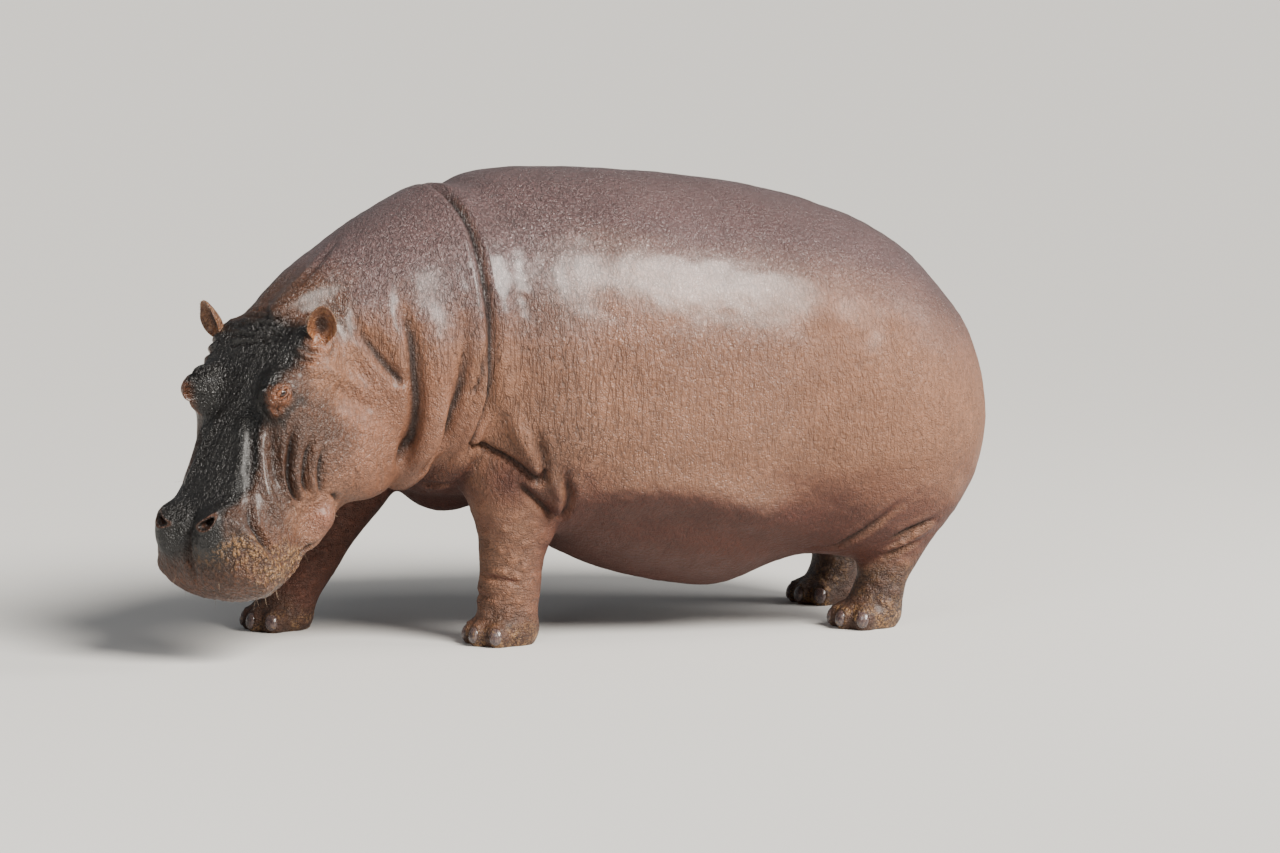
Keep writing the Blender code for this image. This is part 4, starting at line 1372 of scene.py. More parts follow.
# ---------- the skin
@dataclass
class Skin:
    """The one skin of the animal, from the nose to the tail's tip."""

    voxel: float = 0.0212
    ball_faces: tuple[int, int] = (40, 28)
    clay: Clay = field(default_factory=lambda: Anatomy().clay())
    relief: ReliefMap = field(default_factory=ReliefMap)

    def paths(self) -> list[tuple[SkinLine, Array]]:
        """Every crease and ridge with its path settled on the skin."""
        lines = self.relief.lines()
        rows = [line.path() for line in lines]
        settled = self.clay.settle(np.vstack(rows), 4)
        return list(zip(lines, np.split(settled, np.cumsum([len(row) for row in rows])[:-1])))

    def fuse(self) -> Object:
        """All forms fused into one closed mesh that lies on the blended surface."""
        segments, rings = self.ball_faces
        balls = [Modeller.ball("form", form.place, segments, rings) for form in self.clay.forms()]
        item = Modeller.join(balls, "hide")
        Modeller.apply(item, "REMESH", mode="VOXEL", voxel_size=self.voxel)
        for steps in (3, 2):
            Modeller.set_places(item, self.clay.settle(Modeller.places(item), steps))
            Modeller.relax(item, None, 0.5, 3)
        Modeller.set_places(item, self.clay.settle(Modeller.places(item), 2))
        return item

    def levels(self, points: Array, paths: Sequence[tuple[SkinLine, Array]]) -> Array:
        """How many times the skin is to be split.

        Args:
            points: places on the skin.
            paths: every crease with its path.

        Returns:
            One number for each place.
        """
        head = HEAD.inside(points)
        wanted = np.where((head[:, 0] > -0.30) & (head[:, 2] > -0.62), 1, 0)
        wanted[points[:, 2] < 0.12] = 1
        for line, path in paths:
            for reach, level in ((2.3 * line.width + 0.008, 1), (2.2 * line.width, 2)):
                if level == 2 and line.width > 0.0095:
                    continue
                box = np.all((points > path.min(axis=0) - reach)
                             & (points < path.max(axis=0) + reach), axis=1)
                rows = np.flatnonzero(box & (wanted < level))
                gaps = points[rows][:, None, :] - path[None, :, :]
                nearest = np.sqrt(np.einsum("ijk,ijk->ij", gaps, gaps).min(axis=1, initial=FAR))
                wanted[rows[nearest < reach]] = level
        for bed in NAIL_BEDS.values():
            away = np.linalg.norm(points - bed.frame().origin, axis=1)
            wanted = np.maximum(wanted, np.where(away < 0.038, 2, 0))
        for _, side in SIDES:
            eye = EyeLids(side).wide(points)
            nose = np.linalg.norm(points - Nostril(side).middle(self.clay), axis=1)
            for away, steps in ((eye, ((0.075, 2), (0.052, 3), (0.028, 4))),
                                (nose, ((0.065, 2), (0.040, 3)))):
                for reach, level in steps:
                    wanted = np.maximum(wanted, np.where(away < reach, level, 0))
        return wanted

    def refine(self, item: Object, paths: Sequence[tuple[SkinLine, Array]]) -> None:
        """Splits the faces where the detail is fine and settles the new points."""
        for stage in range(4):
            known = len(item.data.vertices)
            Modeller.subdivide(item, self.levels(Modeller.face_middles(item), paths) > stage)
            points = Modeller.places(item)
            points[known:] = self.clay.settle(points[known:], 2)
            Modeller.set_places(item, points)

    def emboss(self, item: Object, paths: Sequence[tuple[SkinLine, Array]]) -> Array:
        """Presses folds, lids, nostrils and nail beds.

        Args:
            item: the refined skin.
            paths: every crease with its path.

        Returns:
            For each vertex its painted fold shade, and how much of it is lid and nostril.
        """
        points = Modeller.places(item)
        outward = self.clay.outward(points)
        raised = np.zeros(len(points))
        marks = np.zeros((len(points), 3))
        for line, path in paths:
            rows, lift, dark = line.press(points, outward, path)
            raised[rows] += lift
            # first mark: the painted shade of the creases
            marks[rows, 0] = np.maximum(marks[rows, 0], dark)
        for bump in [*self.relief.swellings(), *NAIL_BEDS.values()]:
            rows, lift = bump.press(points)
            raised[rows] += lift
        raised += self.flesh_lumps(points)
        points = points + outward * raised[:, None]
        for _, side in SIDES:
            points, share, creased = EyeLids(side).shape(points)
            marks[:, 1] = np.maximum(marks[:, 1], share)
            # the lids' creases add painted shade too
            marks[:, 0] = np.maximum(marks[:, 0], creased)
            points, share = Nostril(side).shape(points, self.clay)
            marks[:, 2] = np.maximum(marks[:, 2], share)
        points[:, 2] = np.maximum(points[:, 2], 0.0)
        Modeller.set_places(item, points)
        return marks

    def flesh_lumps(self, points: Array) -> Array:
        """Small unevenness of the flesh: coarse on the lip pad, very light elsewhere.

        Args:
            points: places on the skin.

        Returns:
            How far each is raised.
        """
        head = HEAD.inside(points)
        lips = ramp(head[:, 0], 0.24, 0.36) * ramp(head[:, 2], -0.05, -0.14)
        poll = bell(head[:, 0] + 0.21, 0.08) * ramp(head[:, 2], -0.08, -0.03)
        return (0.0016 * lumps(points, 0.11) + 0.0011 * lumps(points, 0.030, 5.0)
                + 0.0022 * lips * lumps(points, 0.013, 9.0)
                + 0.0030 * poll * lumps(points, 0.022, 3.0))

    def add_ends(self, item: Object, marks: Array) -> Array:
        """Joins ears and tail to the skin.

        Args:
            item: the skin.
            marks: what emboss() gave.

        Returns:
            The marks of the joined skin, with three more: the ears' cups, how deep in them, and
            the ears as a whole.
        """
        before = Modeller.places(item)
        ends = [Modeller.ball(f"ear_{name}", EarShape(side).place, 48, 32) for name, side in SIDES]
        ends.append(Modeller.ball("tail", TailShape().place, 40, 44))
        for end in ends:
            Modeller.apply(item, "BOOLEAN", operation="UNION", solver="EXACT", object=end)
            bpy.data.objects.remove(end, do_unlink=True)
        points = Modeller.places(item)
        tree = KDTree(len(before))
        for row, place in enumerate(before):
            tree.insert(Vector(place), row)
        tree.balance()
        found = [tree.find(Vector(place)) for place in points]
        rows = np.array([row for _, row, _ in found])
        away = np.array([gap for _, _, gap in found])
        joined = np.where((away < SAME_PLACE)[:, None], marks[rows], 0.0)
        cups = np.zeros((len(points), 3))
        normal = Modeller.normals(item)
        for _, side in SIDES:
            ear = EarShape(side)
            middle, across, opening, upward = ear.axes()
            offset = points - middle
            spread = np.hypot(offset @ across / ear.half_width, offset @ upward / ear.half_height)
            inner = (away > SAME_PLACE) * ramp(normal @ opening, -0.1, 0.3)
            cups[:, 0] = np.maximum(cups[:, 0], inner * ramp(spread, 1.15, 0.85))
            cups[:, 1] = np.maximum(cups[:, 1], inner * ramp(spread, 0.75, 0.25))
            cups[:, 2] = np.maximum(cups[:, 2], (away > SAME_PLACE) * ramp(spread, 1.5, 1.2))
        seam = self.seam_vertices(item, away < SAME_PLACE)
        Modeller.relax(item, seam, 0.5, 4, grow=1)
        return np.column_stack([joined, cups])

    @staticmethod
    def seam_vertices(item: Object, old: Array) -> Array:
        """Vertices of edges that join the skin's own vertices to those of ears and tail.

        Args:
            item: the joined skin.
            old: True for each of the skin's own vertices.

        Returns:
            True for each vertex at the seam.
        """
        ends = Modeller.read(item.data.edges, "vertices", 2, int)
        mixed = old[ends[:, 0]] != old[ends[:, 1]]
        seam = np.zeros(len(old), bool)
        seam[ends[mixed].ravel()] = True
        return seam

    def paint(self, item: Object, marks: Array) -> None:
        """Stores where the hide's colours and painted shade lie, each from 0 to 1, in three colour
        attributes.

        Args:
            item: the joined skin, still in the maker's frame.
            marks: painted fold shade, lid, nostril, ear cup, its depth and the ear, for each
                vertex.
        """
        points = Modeller.places(item)
        normal = Modeller.normals(item)
        head = HEAD.inside(points)
        broad, patchy, spotty = (lumps(points, size, seed)
                                 for size, seed in ((0.42, 2.0), (0.13, 4.0), (0.035, 8.0)))
        _, y, z = points.T
        forward, out, up = head[:, 0], np.abs(head[:, 1]), head[:, 2]
        face = ramp(forward, -0.30, -0.20) * ramp(up, -0.66, -0.58)
        trunk = 1.0 - face
        facing_up = normal[:, 2]
        lit = 0.45 * ramp(np.abs(y + 0.05), 0.55, 0.15)
        back = trunk * ramp(facing_up + 0.18 * broad, -0.08, 0.68) * ramp(z, 0.60, 1.10)
        # belly: the underside's own red-brown, laid also as painted shade on the low,
        # downward-facing trunk and the throat
        under = ramp(-facing_up, 0.12, 0.62) * ramp(z, 0.62, 0.50)
        tuck = ramp(z + 0.03 * patchy, 0.50, 0.36) * ramp(np.abs(y - 0.05), 0.60, 0.40)
        throat = ramp(y, -0.68, -0.80) * ramp(z, 0.95, 0.55) * trunk
        # painted shadow under the near shoulder's flap, laid on with the belly colour
        flap_shadow = 0.95 * bell(np.linalg.norm(points - np.array([0.42, -0.57, 0.51]), axis=1), 0.075)
        belly = trunk * np.clip(np.maximum.reduce([under, tuck, 0.70 * throat, flap_shadow]), 0, 1)
        # crown and top of the head: near black of dark wet skin, deepened as painted shade
        crown = (ramp(forward + 0.04 * patchy, -0.42, -0.14)
                 * ramp(up + 0.03 * patchy, -0.20, -0.05) * ramp(out + 0.03 * patchy, 0.22, 0.12))
        nape = 0.60 * ramp(forward, -0.62, -0.26) * ramp(up + 0.03 * patchy, -0.22, -0.05) * trunk
        snout = ramp(forward, 0.02, 0.16)
        side_reach = -0.165 - 0.20 * snout
        ragged = 0.06 * patchy + 0.03 * spotty
        top = ramp((up + ragged - side_reach) / (-0.02 - side_reach), 0.0, 1.0) * face
        top = top * (1 - 0.85 * ramp(out + 0.03 * patchy, 0.16, 0.22) * ramp(forward, 0.00, -0.09))
        top = (top * (1 - (0.42 - 0.12 * patchy) * snout)
               * (1 - 0.32 * snout * ramp(out, 0.00, 0.18)))
        bag = (0.56 * ramp(forward + 0.05 * patchy, -0.15, 0.05)
               * ramp(up + 0.04 * patchy, -0.34, -0.14))
        # lower front of the muzzle: its darker brown skin, and painted shade on its front face
        muzzle = 0.64 * ramp(forward + 0.03 * patchy, 0.28, 0.42) * ramp(up, -0.48, -0.36)
        bag, muzzle = bag * face, muzzle * face
        # painted shade on the head's right side
        far_side_shade = 0.62 * ramp(head[:, 1], 0.02, -0.10) * ramp(up, -0.34, -0.20) * face
        hind = ramp(z + 0.05 * patchy, 0.27, 0.12) * ramp(y, 0.3, 0.5)
        fore = 0.45 * ramp(z + 0.05 * patchy, 0.16, 0.04)
        # a darker band down the front of the flank, behind the shoulder's fold
        flank_front_band = 0.24 * bell(y + 0.46, 0.15) * ramp(z, 1.25, 1.00) * ramp(z, 0.35, 0.50) * trunk
        dark = np.clip(np.maximum.reduce([top, crown, nape, muzzle, far_side_shade, bag, flank_front_band,
                                          0.55 * hind, fore]), 0, 1)
        corner = np.column_stack([forward - 0.240, out - 0.195, up + 0.350])
        lobe = 0.9 * bell(np.linalg.norm(corner, axis=1), 0.050)
        cheek = 0.25 * ramp(up, -0.16, -0.26) * ramp(forward, 0.20, 0.06) * face
        pink = np.clip(np.maximum.reduce([cheek, lobe, 0.9 * throat, 0.6 * belly]), 0, 1)
        brow = bell(forward + 0.115, 0.045) * bell(out - 0.205, 0.035) * bell(up + 0.045, 0.045)
        foot = np.column_stack([forward - BUILD.ear_place[0], out - BUILD.ear_place[1] - 0.01,
                                up + 0.05])
        roots = bell(np.linalg.norm(foot, axis=1), 0.045) * (head[:, 1] > 0)
        cup, deep = marks[:, 3], marks[:, 4]
        shell = marks[:, 5] * (1 - cup)
        sockets = [bell(EyeLids(side).wide(points), 0.060) for _, side in SIDES]
        dark = dark * (1 - 0.55 * np.maximum(*sockets) * ramp(out, 0.15, 0.21))
        dark = np.maximum(dark * (1 - shell), 0.25 * shell)
        orange = np.clip(0.72 * marks[:, 1] + 0.55 * cup + 0.30 * shell + 0.45 * brow * face
                         + 0.50 * roots + 2.0 * np.minimum(marks[:, 2], 0.24), 0, 1)
        orange = np.maximum(orange, (0.62 * muzzle * ramp(up, -0.05, -0.16) + 0.10 * snout * face))
        pad = (ramp(forward - 0.35 * (up + 0.10) + 0.02 * spotty, 0.41, 0.46)
               * ramp(up, -0.05, -0.09) * face)
        pad = np.maximum(pad * ramp(up, -0.40, -0.36), 0)
        near = ramp(head[:, 1], -0.02, 0.08) * ramp(forward, 0.56, 0.50)
        splash = ramp(spotty + 0.7 * patchy, -0.35, 0.45)
        toes = ramp(z + 0.02 * patchy, 0.10, 0.02)
        mud = np.clip(pad * near * (0.45 + 0.55 * splash) + 0.9 * toes * splash
                      + 0.45 * hind * splash + 0.35 * (cup + shell) * (1 - deep), 0, 1)
        # painted shade in creases, deep in the nostrils and deep in the ear cups
        fold_shade = np.clip(marks[:, 0] + ramp(marks[:, 2], 0.25, 0.8) + 0.80 * deep, 0, 1)
        wet = back * 0.8 + dark * 0.35 + face * 0.45 + 1.5 * lit + 0.2 * patchy
        wet = np.clip(wet * (1 - 0.9 * belly) * (1 - 0.5 * muzzle), 0, 1)
        legs = ramp(z, 0.52, 0.30) * trunk * (1 - belly)
        net = np.clip(legs + 0.4 * throat + 0.3 * cheek, 0, 1)
        pebble = np.clip(np.maximum(pad, 0.5 * face * ramp(up, -0.5, -0.2)), 0, 1)
        streak = np.clip(trunk * ramp(z, 0.35, 0.60) * (0.45 + 0.55 * ramp(y, -0.05, -0.35)), 0, 1)
        sleek = np.clip(face * (0.45 + 0.5 * ramp(up, -0.30, -0.12)) * (1 - pebble), 0, 1)
        Modeller.write_attribute(item, "zones_a", np.column_stack([back, belly, pink, dark]))
        Modeller.write_attribute(item, "zones_b", np.column_stack([orange, mud, fold_shade, wet]))
        Modeller.write_attribute(item, "zones_c", np.column_stack([net, pebble, streak, sleek]))

    def build(self) -> Object:
        """The finished skin in the maker's frame, without its material."""
        item = self.fuse()
        paths = self.paths()
        self.refine(item, paths)
        marks = self.emboss(item, paths)
        marks = self.add_ends(item, marks)
        self.paint(item, marks)
        return Modeller.smooth(item)


# ---------- materials
Term = Union["Value", float]


class Value:
    """A number at a socket of a node graph, with arithmetic."""

    def __init__(self, graph: "Graph", socket: Socket) -> None:
        """Keeps the graph and the socket."""
        self.graph = graph
        self.socket = socket

    def combine(self, operation: str, *others: Term) -> "Value":
        """A Math node with this value first."""
        return self.graph.maths(operation, self, *others)

    def __add__(self, other: Term) -> "Value":
        """Sum."""
        return self.combine("ADD", other)

    def __sub__(self, other: Term) -> "Value":
        """Difference."""
        return self.combine("SUBTRACT", other)

    def __rsub__(self, other: float) -> "Value":
        """Difference, with the number first."""
        return self.graph.maths("SUBTRACT", other, self)

    def __mul__(self, other: Term) -> "Value":
        """Product."""
        return self.combine("MULTIPLY", other)

    __radd__, __rmul__ = __add__, __mul__

    def ramp(self, start: float, end: float) -> "Value":
        """Smooth step from 0 at start to 1 at end."""
        node = self.graph.add("ShaderNodeMapRange", {"interpolation_type": "SMOOTHSTEP"},
                              {"Value": self, "From Min": start, "From Max": end})
        return Value(self.graph, node.outputs["Result"])

    def clamped(self) -> "Value":
        """The value held between 0 and 1."""
        node = self.graph.add("ShaderNodeClamp", {}, {"Value": self})
        return Value(self.graph, node.outputs["Result"])


class Graph:
    """The node graph of one material."""

    def __init__(self, name: str) -> None:
        """A new material with its shader."""
        self.material = bpy.data.materials.new(name)
        self.material.use_nodes = True
        self.tree = self.material.node_tree
        self.shader = self.tree.nodes["Principled BSDF"]
        self.places = self.add("ShaderNodeTexCoord").outputs["Object"]

    def add(self, kind: str, settings: Optional[dict] = None,
            values: Optional[dict] = None) -> bpy.types.Node:
        """Any node.

        Args:
            kind: its type.
            settings: its properties.
            values: for its inputs, by name or number: a Value, a socket, or a constant.

        Returns:
            The node.
        """
        node = self.tree.nodes.new(kind)
        for key, setting in (settings or {}).items():
            setattr(node, key, setting)
        for key, value in (values or {}).items():
            self.feed(node.inputs[key], value)
        return node

    def feed(self, target: Socket, value: object) -> None:
        """Links a Value or socket to an input, or sets a constant on it.

        Args:
            target: the input.
            value: what it gets.
        """
        if isinstance(value, Value):
            value = value.socket
        if isinstance(value, Socket):
            self.tree.links.new(value, target)
        else:
            target.default_value = value

    def dressed(self, values: dict[str, object]) -> bpy.types.Material:
        """The material, with its shader's inputs fed by name."""
        for key, value in values.items():
            self.feed(self.shader.inputs[key], value)
        return self.material

    def maths(self, operation: str, *values: Term) -> Value:
        """A Math node."""
        node = self.add("ShaderNodeMath", {"operation": operation}, dict(enumerate(values)))
        return Value(self, node.outputs[0])

    def stretched(self, scale: Vec3, shift: Vec3 = (0.0, 0.0, 0.0)) -> Socket:
        """Object coordinates scaled in each direction."""
        values = {"Vector": self.places, "Scale": scale, "Location": shift}
        return self.add("ShaderNodeMapping", {}, values).outputs["Vector"]

    def noise(self, vector: Socket, scale: float, detail: float = 3.0,
              rough: float = 0.55, twist: float = 0.0) -> Value:
        """Noise centred on 0.5."""
        values = {"Vector": vector, "Scale": scale, "Detail": detail, "Roughness": rough,
                  "Distortion": twist}
        return Value(self, self.add("ShaderNodeTexNoise", {}, values).outputs["Fac"])

    def cells(self, vector: Socket, scale: float, feature: str = "F1",
              output: str = "Distance") -> Value:
        """Voronoi cells: distance to their middles, or to their edges."""
        node = self.add("ShaderNodeTexVoronoi", {"feature": feature},
                        {"Vector": vector, "Scale": scale})
        return Value(self, node.outputs[output])

    def creases(self, vector: Socket, width: float) -> Value:
        """1 on the skin between thin wandering creases and 0 in them."""
        away = self.maths("ABSOLUTE", self.noise(vector, 1.0, 1.5, 0.45, 0.4) - 0.5)
        return away.ramp(0.0, width)

    def bands(self, angle: float, scale: float, twist: float) -> Value:
        """Soft parallel bands along the body's side.

        Args:
            angle: how steeply they climb.
            scale: bands in a metre.
            twist: how much they wander.

        Returns:
            The bands, from 0 to 1.
        """
        turned = {"Vector": self.places, "Rotation": (angle, 0.0, 0.0)}
        vector = self.add("ShaderNodeMapping", {}, turned).outputs["Vector"]
        values = {"Vector": vector, "Scale": scale, "Distortion": twist,
                  "Detail": 2.0, "Detail Scale": 1.0}
        settings = {"wave_type": "BANDS", "bands_direction": "Z", "wave_profile": "SIN"}
        return Value(self, self.add("ShaderNodeTexWave", settings, values).outputs["Fac"])

    def mix(self, share: Term, first: object, second: object,
            blend: str = "MIX") -> Socket:
        """A Mix node of two colours."""
        node = self.add("ShaderNodeMix", {"data_type": "RGBA", "blend_type": blend},
                        {0: share, 6: self.tinted(first), 7: self.tinted(second)})
        return node.outputs[2]

    def tinted(self, colour: object) -> object:
        """A socket as it is, or a display colour as a linear one with alpha."""
        if isinstance(colour, tuple):
            return (*linear(colour), 1.0)
        return colour

    def split(self, attribute: str) -> list[Value]:
        """The four values of a colour attribute."""
        node = self.add("ShaderNodeAttribute", {"attribute_name": attribute})
        parts = self.add("ShaderNodeSeparateColor", {}, {"Color": node.outputs["Color"]})
        return [Value(self, socket) for socket in (*parts.outputs, node.outputs["Alpha"])]

    def bump(self, height: Value, distance: float, strength: float = 1.0) -> Socket:
        """A bumped normal."""
        values = {"Height": height, "Distance": distance, "Strength": strength}
        return self.add("ShaderNodeBump", {}, values).outputs["Normal"]


def linear(tint: Colour) -> Colour:
    """Display colour from 0 to 255 as linear light from 0 to 1."""
    shares = [value / 255.0 for value in tint]
    return tuple(s / 12.92 if s <= 0.04045 else ((s + 0.055) / 1.055) ** 2.4 for s in shares)


@dataclass(frozen=True)
class HideFinish:
    """Wet, pebbled and finely wrinkled hide, with painted shade in its folds and wrinkles."""

    flank: Colour = (117, 79, 57)
    back: Colour = (84, 64, 63)
    # red-brown of the underside, darkened to carry painted shade as well
    belly: Colour = (66, 27, 12)
    brown: Colour = (70, 43, 28)
    # near black of the wet head top, deepened to carry painted shade; it also carries the painted
    # shade of the head's far side and muzzle front
    dark: Colour = (11, 7, 5)
    pink: Colour = (124, 77, 58)
    orange: Colour = (122, 72, 42)
    mud: Colour = (134, 100, 64)
    # painted shade of creases, nostrils and ear cups
    fold_shade: Colour = (24, 14, 11)
    grain: float = 72.0

    def build(self) -> bpy.types.Material:
        """The material. Colours lie where the skin's attributes say."""
        g = Graph("hide_wet")
        back, belly, pink, dark = g.split("zones_a")
        orange, mud, fold_shade, wet = g.split("zones_b")
        net, pebble, streak, sleek = g.split("zones_c")
        broad = g.noise(g.places, 2.6, 4.0)
        patchy = g.noise(g.places, 11.0, 5.0, 0.6)
        fine = g.noise(g.places, 70.0, 4.0, 0.65)
        grains = 1.0 - g.cells(g.stretched((1.0, 1.1, 0.72)), self.grain).ramp(0.05, 0.80)
        beads = 1.0 - g.cells(g.places, self.grain * 2.1).ramp(0.05, 0.80)
        leather = g.stretched((1.0, 1.0, 0.75))
        plates = g.cells(leather, 165.0, "DISTANCE_TO_EDGE").ramp(0.02, 0.30)
        seams = g.creases(g.stretched((44.0, 44.0, 34.0)), 0.060)
        upright = g.creases(g.stretched((75.0, 75.0, 10.0)), 0.055)
        level = g.creases(g.stretched((26.0, 26.0, 85.0)), 0.050)
        rising = g.bands(math.radians(38), 6.4, 7.0)
        falling = g.bands(math.radians(-42), 5.6, 7.0)
        tone = g.mix(back, self.flank, self.back)
        tone = g.mix(pink, tone, self.pink)
        tone = g.mix(belly, tone, self.belly)
        shaded = dark + 0.4 * patchy - 0.2
        tone = g.mix(shaded.ramp(0.05, 0.50), tone, self.brown)
        tone = g.mix(shaded.ramp(0.45, 0.95), tone, self.dark)
        tone = g.mix((orange + 0.5 * patchy - 0.25).ramp(0.15, 0.95), tone, self.orange)
        muddy = mud * (0.9 * fine + 0.7 * beads + 0.5 * grains - 0.25).ramp(0.40, 0.85)
        tone = g.mix(muddy, tone, self.mud)
        # creased, furrow and pebble, and the grain, plate and seam terms below, paint shade into
        # wrinkles and between grains; the broad, patchy and fine noise is the skin's own uneven
        # tone
        creased = streak * (1.0 - upright) + net * (1.0 - level) * 0.6
        furrow = net * (1.0 - rising * falling)
        shade = 0.44 + 0.50 * broad + 0.52 * patchy
        shade = shade * (0.56 + 0.46 * fine + 0.18 * grains + 0.10 * plates + 0.10 * seams)
        shade = shade * (1.0 - 0.34 * creased) * (1.06 - 0.34 * furrow)
        shade = shade * (1.0 - 0.45 * pebble * (1.0 - grains))
        grey = g.add("ShaderNodeCombineColor", {}, {0: shade, 1: shade, 2: shade}).outputs[0]
        tone = g.mix(1.0, tone, grey, "MULTIPLY")
        # painted shade in creases, nostrils and ear cups
        tone = g.mix(fold_shade.ramp(0.10, 0.95) * 0.9, tone, self.fold_shade)
        damp = (wet + 0.8 * patchy - 0.40).clamped()
        film = (0.42 + 0.05 * sleek) * damp * (1.0 - 0.8 * fold_shade) * (1.0 - 0.5 * dark)
        height = (0.36 + 1.2 * pebble) * (1.0 - 0.80 * sleek) * grains + 0.60 * pebble * beads
        height = height + (0.42 - 0.20 * sleek) * fine + 0.24 * plates
        height = height + (0.18 + 0.10 * sleek) * seams
        height = height + 0.55 * streak * upright + net * (1.10 * rising * falling + 0.45 * level)
        return g.dressed({"Base Color": tone, "Roughness": 0.56 - 0.34 * damp + 0.12 * fine,
                          "Coat Weight": film.clamped(), "Coat Roughness": 0.26,
                          "Specular IOR Level": 0.48, "Normal": g.bump(height, 0.0058)})


@dataclass(frozen=True)
class EyeFinish:
    """Dark brown iris with a slot of a pupil, under a clear wet front."""

    white: Colour = (120, 84, 66)
    iris: Colour = (70, 38, 20)
    rim: Colour = (24, 13, 9)
    pupil: Colour = (6, 5, 5)

    def build(self) -> bpy.types.Material:
        """The material. The attribute says how far each place is from the eye's axis."""
        g = Graph("eye_wet")
        across, level, rays, _ = g.split("eye_map")
        spokes = g.noise(g.places, 900.0, 3.0, 0.7)
        radius = g.maths("SQRT", across * across + level * level)
        tone = g.mix(rays, self.iris, self.rim)
        tone = g.mix((0.8 * spokes).clamped(), tone, self.rim)
        tone = g.mix(radius.ramp(0.52, 0.62), tone, self.white)
        slot = g.maths("SQRT", (across * 0.50) * (across * 0.50) + level * level)
        tone = g.mix(slot.ramp(0.15, 0.11), tone, self.pupil)
        return g.dressed({"Base Color": tone, "Roughness": 0.14 + 0.12 * spokes,
                          "Coat Weight": 0.35, "Coat Roughness": 0.02})


@dataclass(frozen=True)
class HornFinish:
    """Dark shiny horn of the nails, striped along and dusted with mud at its edge."""

    horn: Colour = (58, 46, 48)
    pale: Colour = (112, 92, 84)
    mud: Colour = (120, 92, 60)

    def build(self) -> bpy.types.Material:
        """The material, in object coordinates."""
        g = Graph("nail_horn")
        stripes = g.noise(g.stretched((420.0, 420.0, 60.0)), 1.0, 3.0, 0.6)
        dirt = g.noise(g.places, 85.0, 4.0, 0.65)
        tone = g.mix(stripes.ramp(0.40, 0.72), self.horn, self.pale)
        tone = g.mix(dirt.ramp(0.56, 0.72), tone, self.mud)
        return g.dressed({"Base Color": tone, "Roughness": 0.22 + 0.5 * dirt.ramp(0.5, 0.75),
                          "Coat Weight": 0.5, "Coat Roughness": 0.12,
                          "Normal": g.bump(stripes + 0.6 * dirt, 0.0006)})


@dataclass(frozen=True)
class BristleFinish:
    """Pale horny bristle, browner at its root."""

    root: Colour = (86, 60, 44)
    tip: Colour = (172, 150, 126)

    def build(self) -> bpy.types.Material:
        """The material. The attribute runs from 0 at the root to 1 at the tip."""
        g = Graph("bristle")
        along, shade, _, _ = g.split("bristle_map")
        tone = g.mix(along.ramp(0.0, 0.45), self.root, self.tip)
        tone = g.mix(0.35 * shade, tone, self.root)
        return g.dressed({"Base Color": tone, "Roughness": 0.35 + 0.2 * shade})


@dataclass(frozen=True)
class FloorFinish:
    """Plain pale studio floor with a trace of unevenness."""

    tint: Colour = (204, 203, 200)
    shade: Colour = (184, 182, 178)

    def build(self) -> bpy.types.Material:
        """The material."""
        g = Graph("studio_floor")
        cloud = g.noise(g.places, 1.5, 2.0)
        tone = g.mix(0.05 * cloud, self.tint, self.shade)
        return g.dressed({"Base Color": tone, "Roughness": 0.85})


# ---------- small pieces
@dataclass(frozen=True)
class EyeBall:
    """One eyeball with the bulge of its clear front."""

    side: int
    iris_reach: float = 0.62
    bulge: float = 0.0016

    def place(self, ball: Array) -> Array:
        """Points of a unit ball laid on the eyeball, its pole looking outwards.

        Args:
            ball: the ball's points, one a row.

        Returns:
            Their places.
        """
        middle, length, height, outward = EyeLids(self.side).axes()
        radial = np.hypot(ball[:, 0], ball[:, 1])
        front = ball[:, 2] > 0
        lift = np.where(front, self.bulge * (1 - ramp(radial, 0.30, self.iris_reach)), 0.0)
        size = BUILD.eye_radius + lift
        return (middle + np.outer(ball[:, 0] * size, length) + np.outer(ball[:, 1] * size, height)
                + np.outer(ball[:, 2] * size, outward))

    def build(self, name: str) -> Object:
        """The eyeball in the maker's frame.

        Args:
            name: the piece's name.

        Returns:
            Its object.
        """
        item = Modeller.ball(name, self.place, 48, 40)
        middle, length, height, outward = EyeLids(self.side).axes()
        offset = (Modeller.places(item) - middle) / BUILD.eye_radius
        across, level, front = offset @ length, offset @ height, offset @ outward
        angle = np.arctan2(level, across)
        rays = 0.5 + 0.5 * np.sin(23 * angle + 3 * np.sin(5 * angle))
        back = np.where(front > 0, 0.0, 1.0)
        Modeller.write_attribute(item, "eye_map", np.column_stack(
            [across + back, level, 0.5 * rays, np.ones(len(offset))]))
        return Modeller.smooth(item)


@dataclass(frozen=True)
class Nail:
    """One hoof-like nail: a thick arched plate with growth ridges."""

    bed: NailBed
    rings: int = 22
    segments: int = 30

    def place(self, ball: Array) -> Array:
        """Points of a unit ball laid on the nail.

        Args:
            ball: the ball's points, one a row.

        Returns:
            Their places.
        """
        frame = self.bed.frame()
        width, depth, height = BUILD.nail_size
        across, front, level = ball[:, 1], ball[:, 0], ball[:, 2]
        square = np.sign(across) * np.abs(across) ** 0.85
        ridges = 1.0 + 0.035 * np.cos(9 * np.pi * level) * ramp(front, 0.1, 0.6)
        blunt = 1.0 - 0.10 * ramp(level, -0.5, -1.0)
        return frame.origin + (np.column_stack([front * depth * ridges * blunt, square * width,
                                                level * height * 0.98]) @ frame.axes)

    def build(self, name: str) -> Object:
        """The nail in the maker's frame."""
        return Modeller.smooth(Modeller.ball(name, self.place, self.segments, self.rings))


class Crop(Enum):
    """Where bristles grow."""

    LIPS = "lip_whiskers"
    EARS = "ear_fringe"
    TAIL = "tail_bristles"


@dataclass(frozen=True)
class Bristle:
    """One bristle: its root, the way it leaves the skin, how far it reaches and sags."""

    root: Array
    leaving: Array
    length: float
    radius: float
    sag: float
    patch: tuple[float, float]
    shade: float


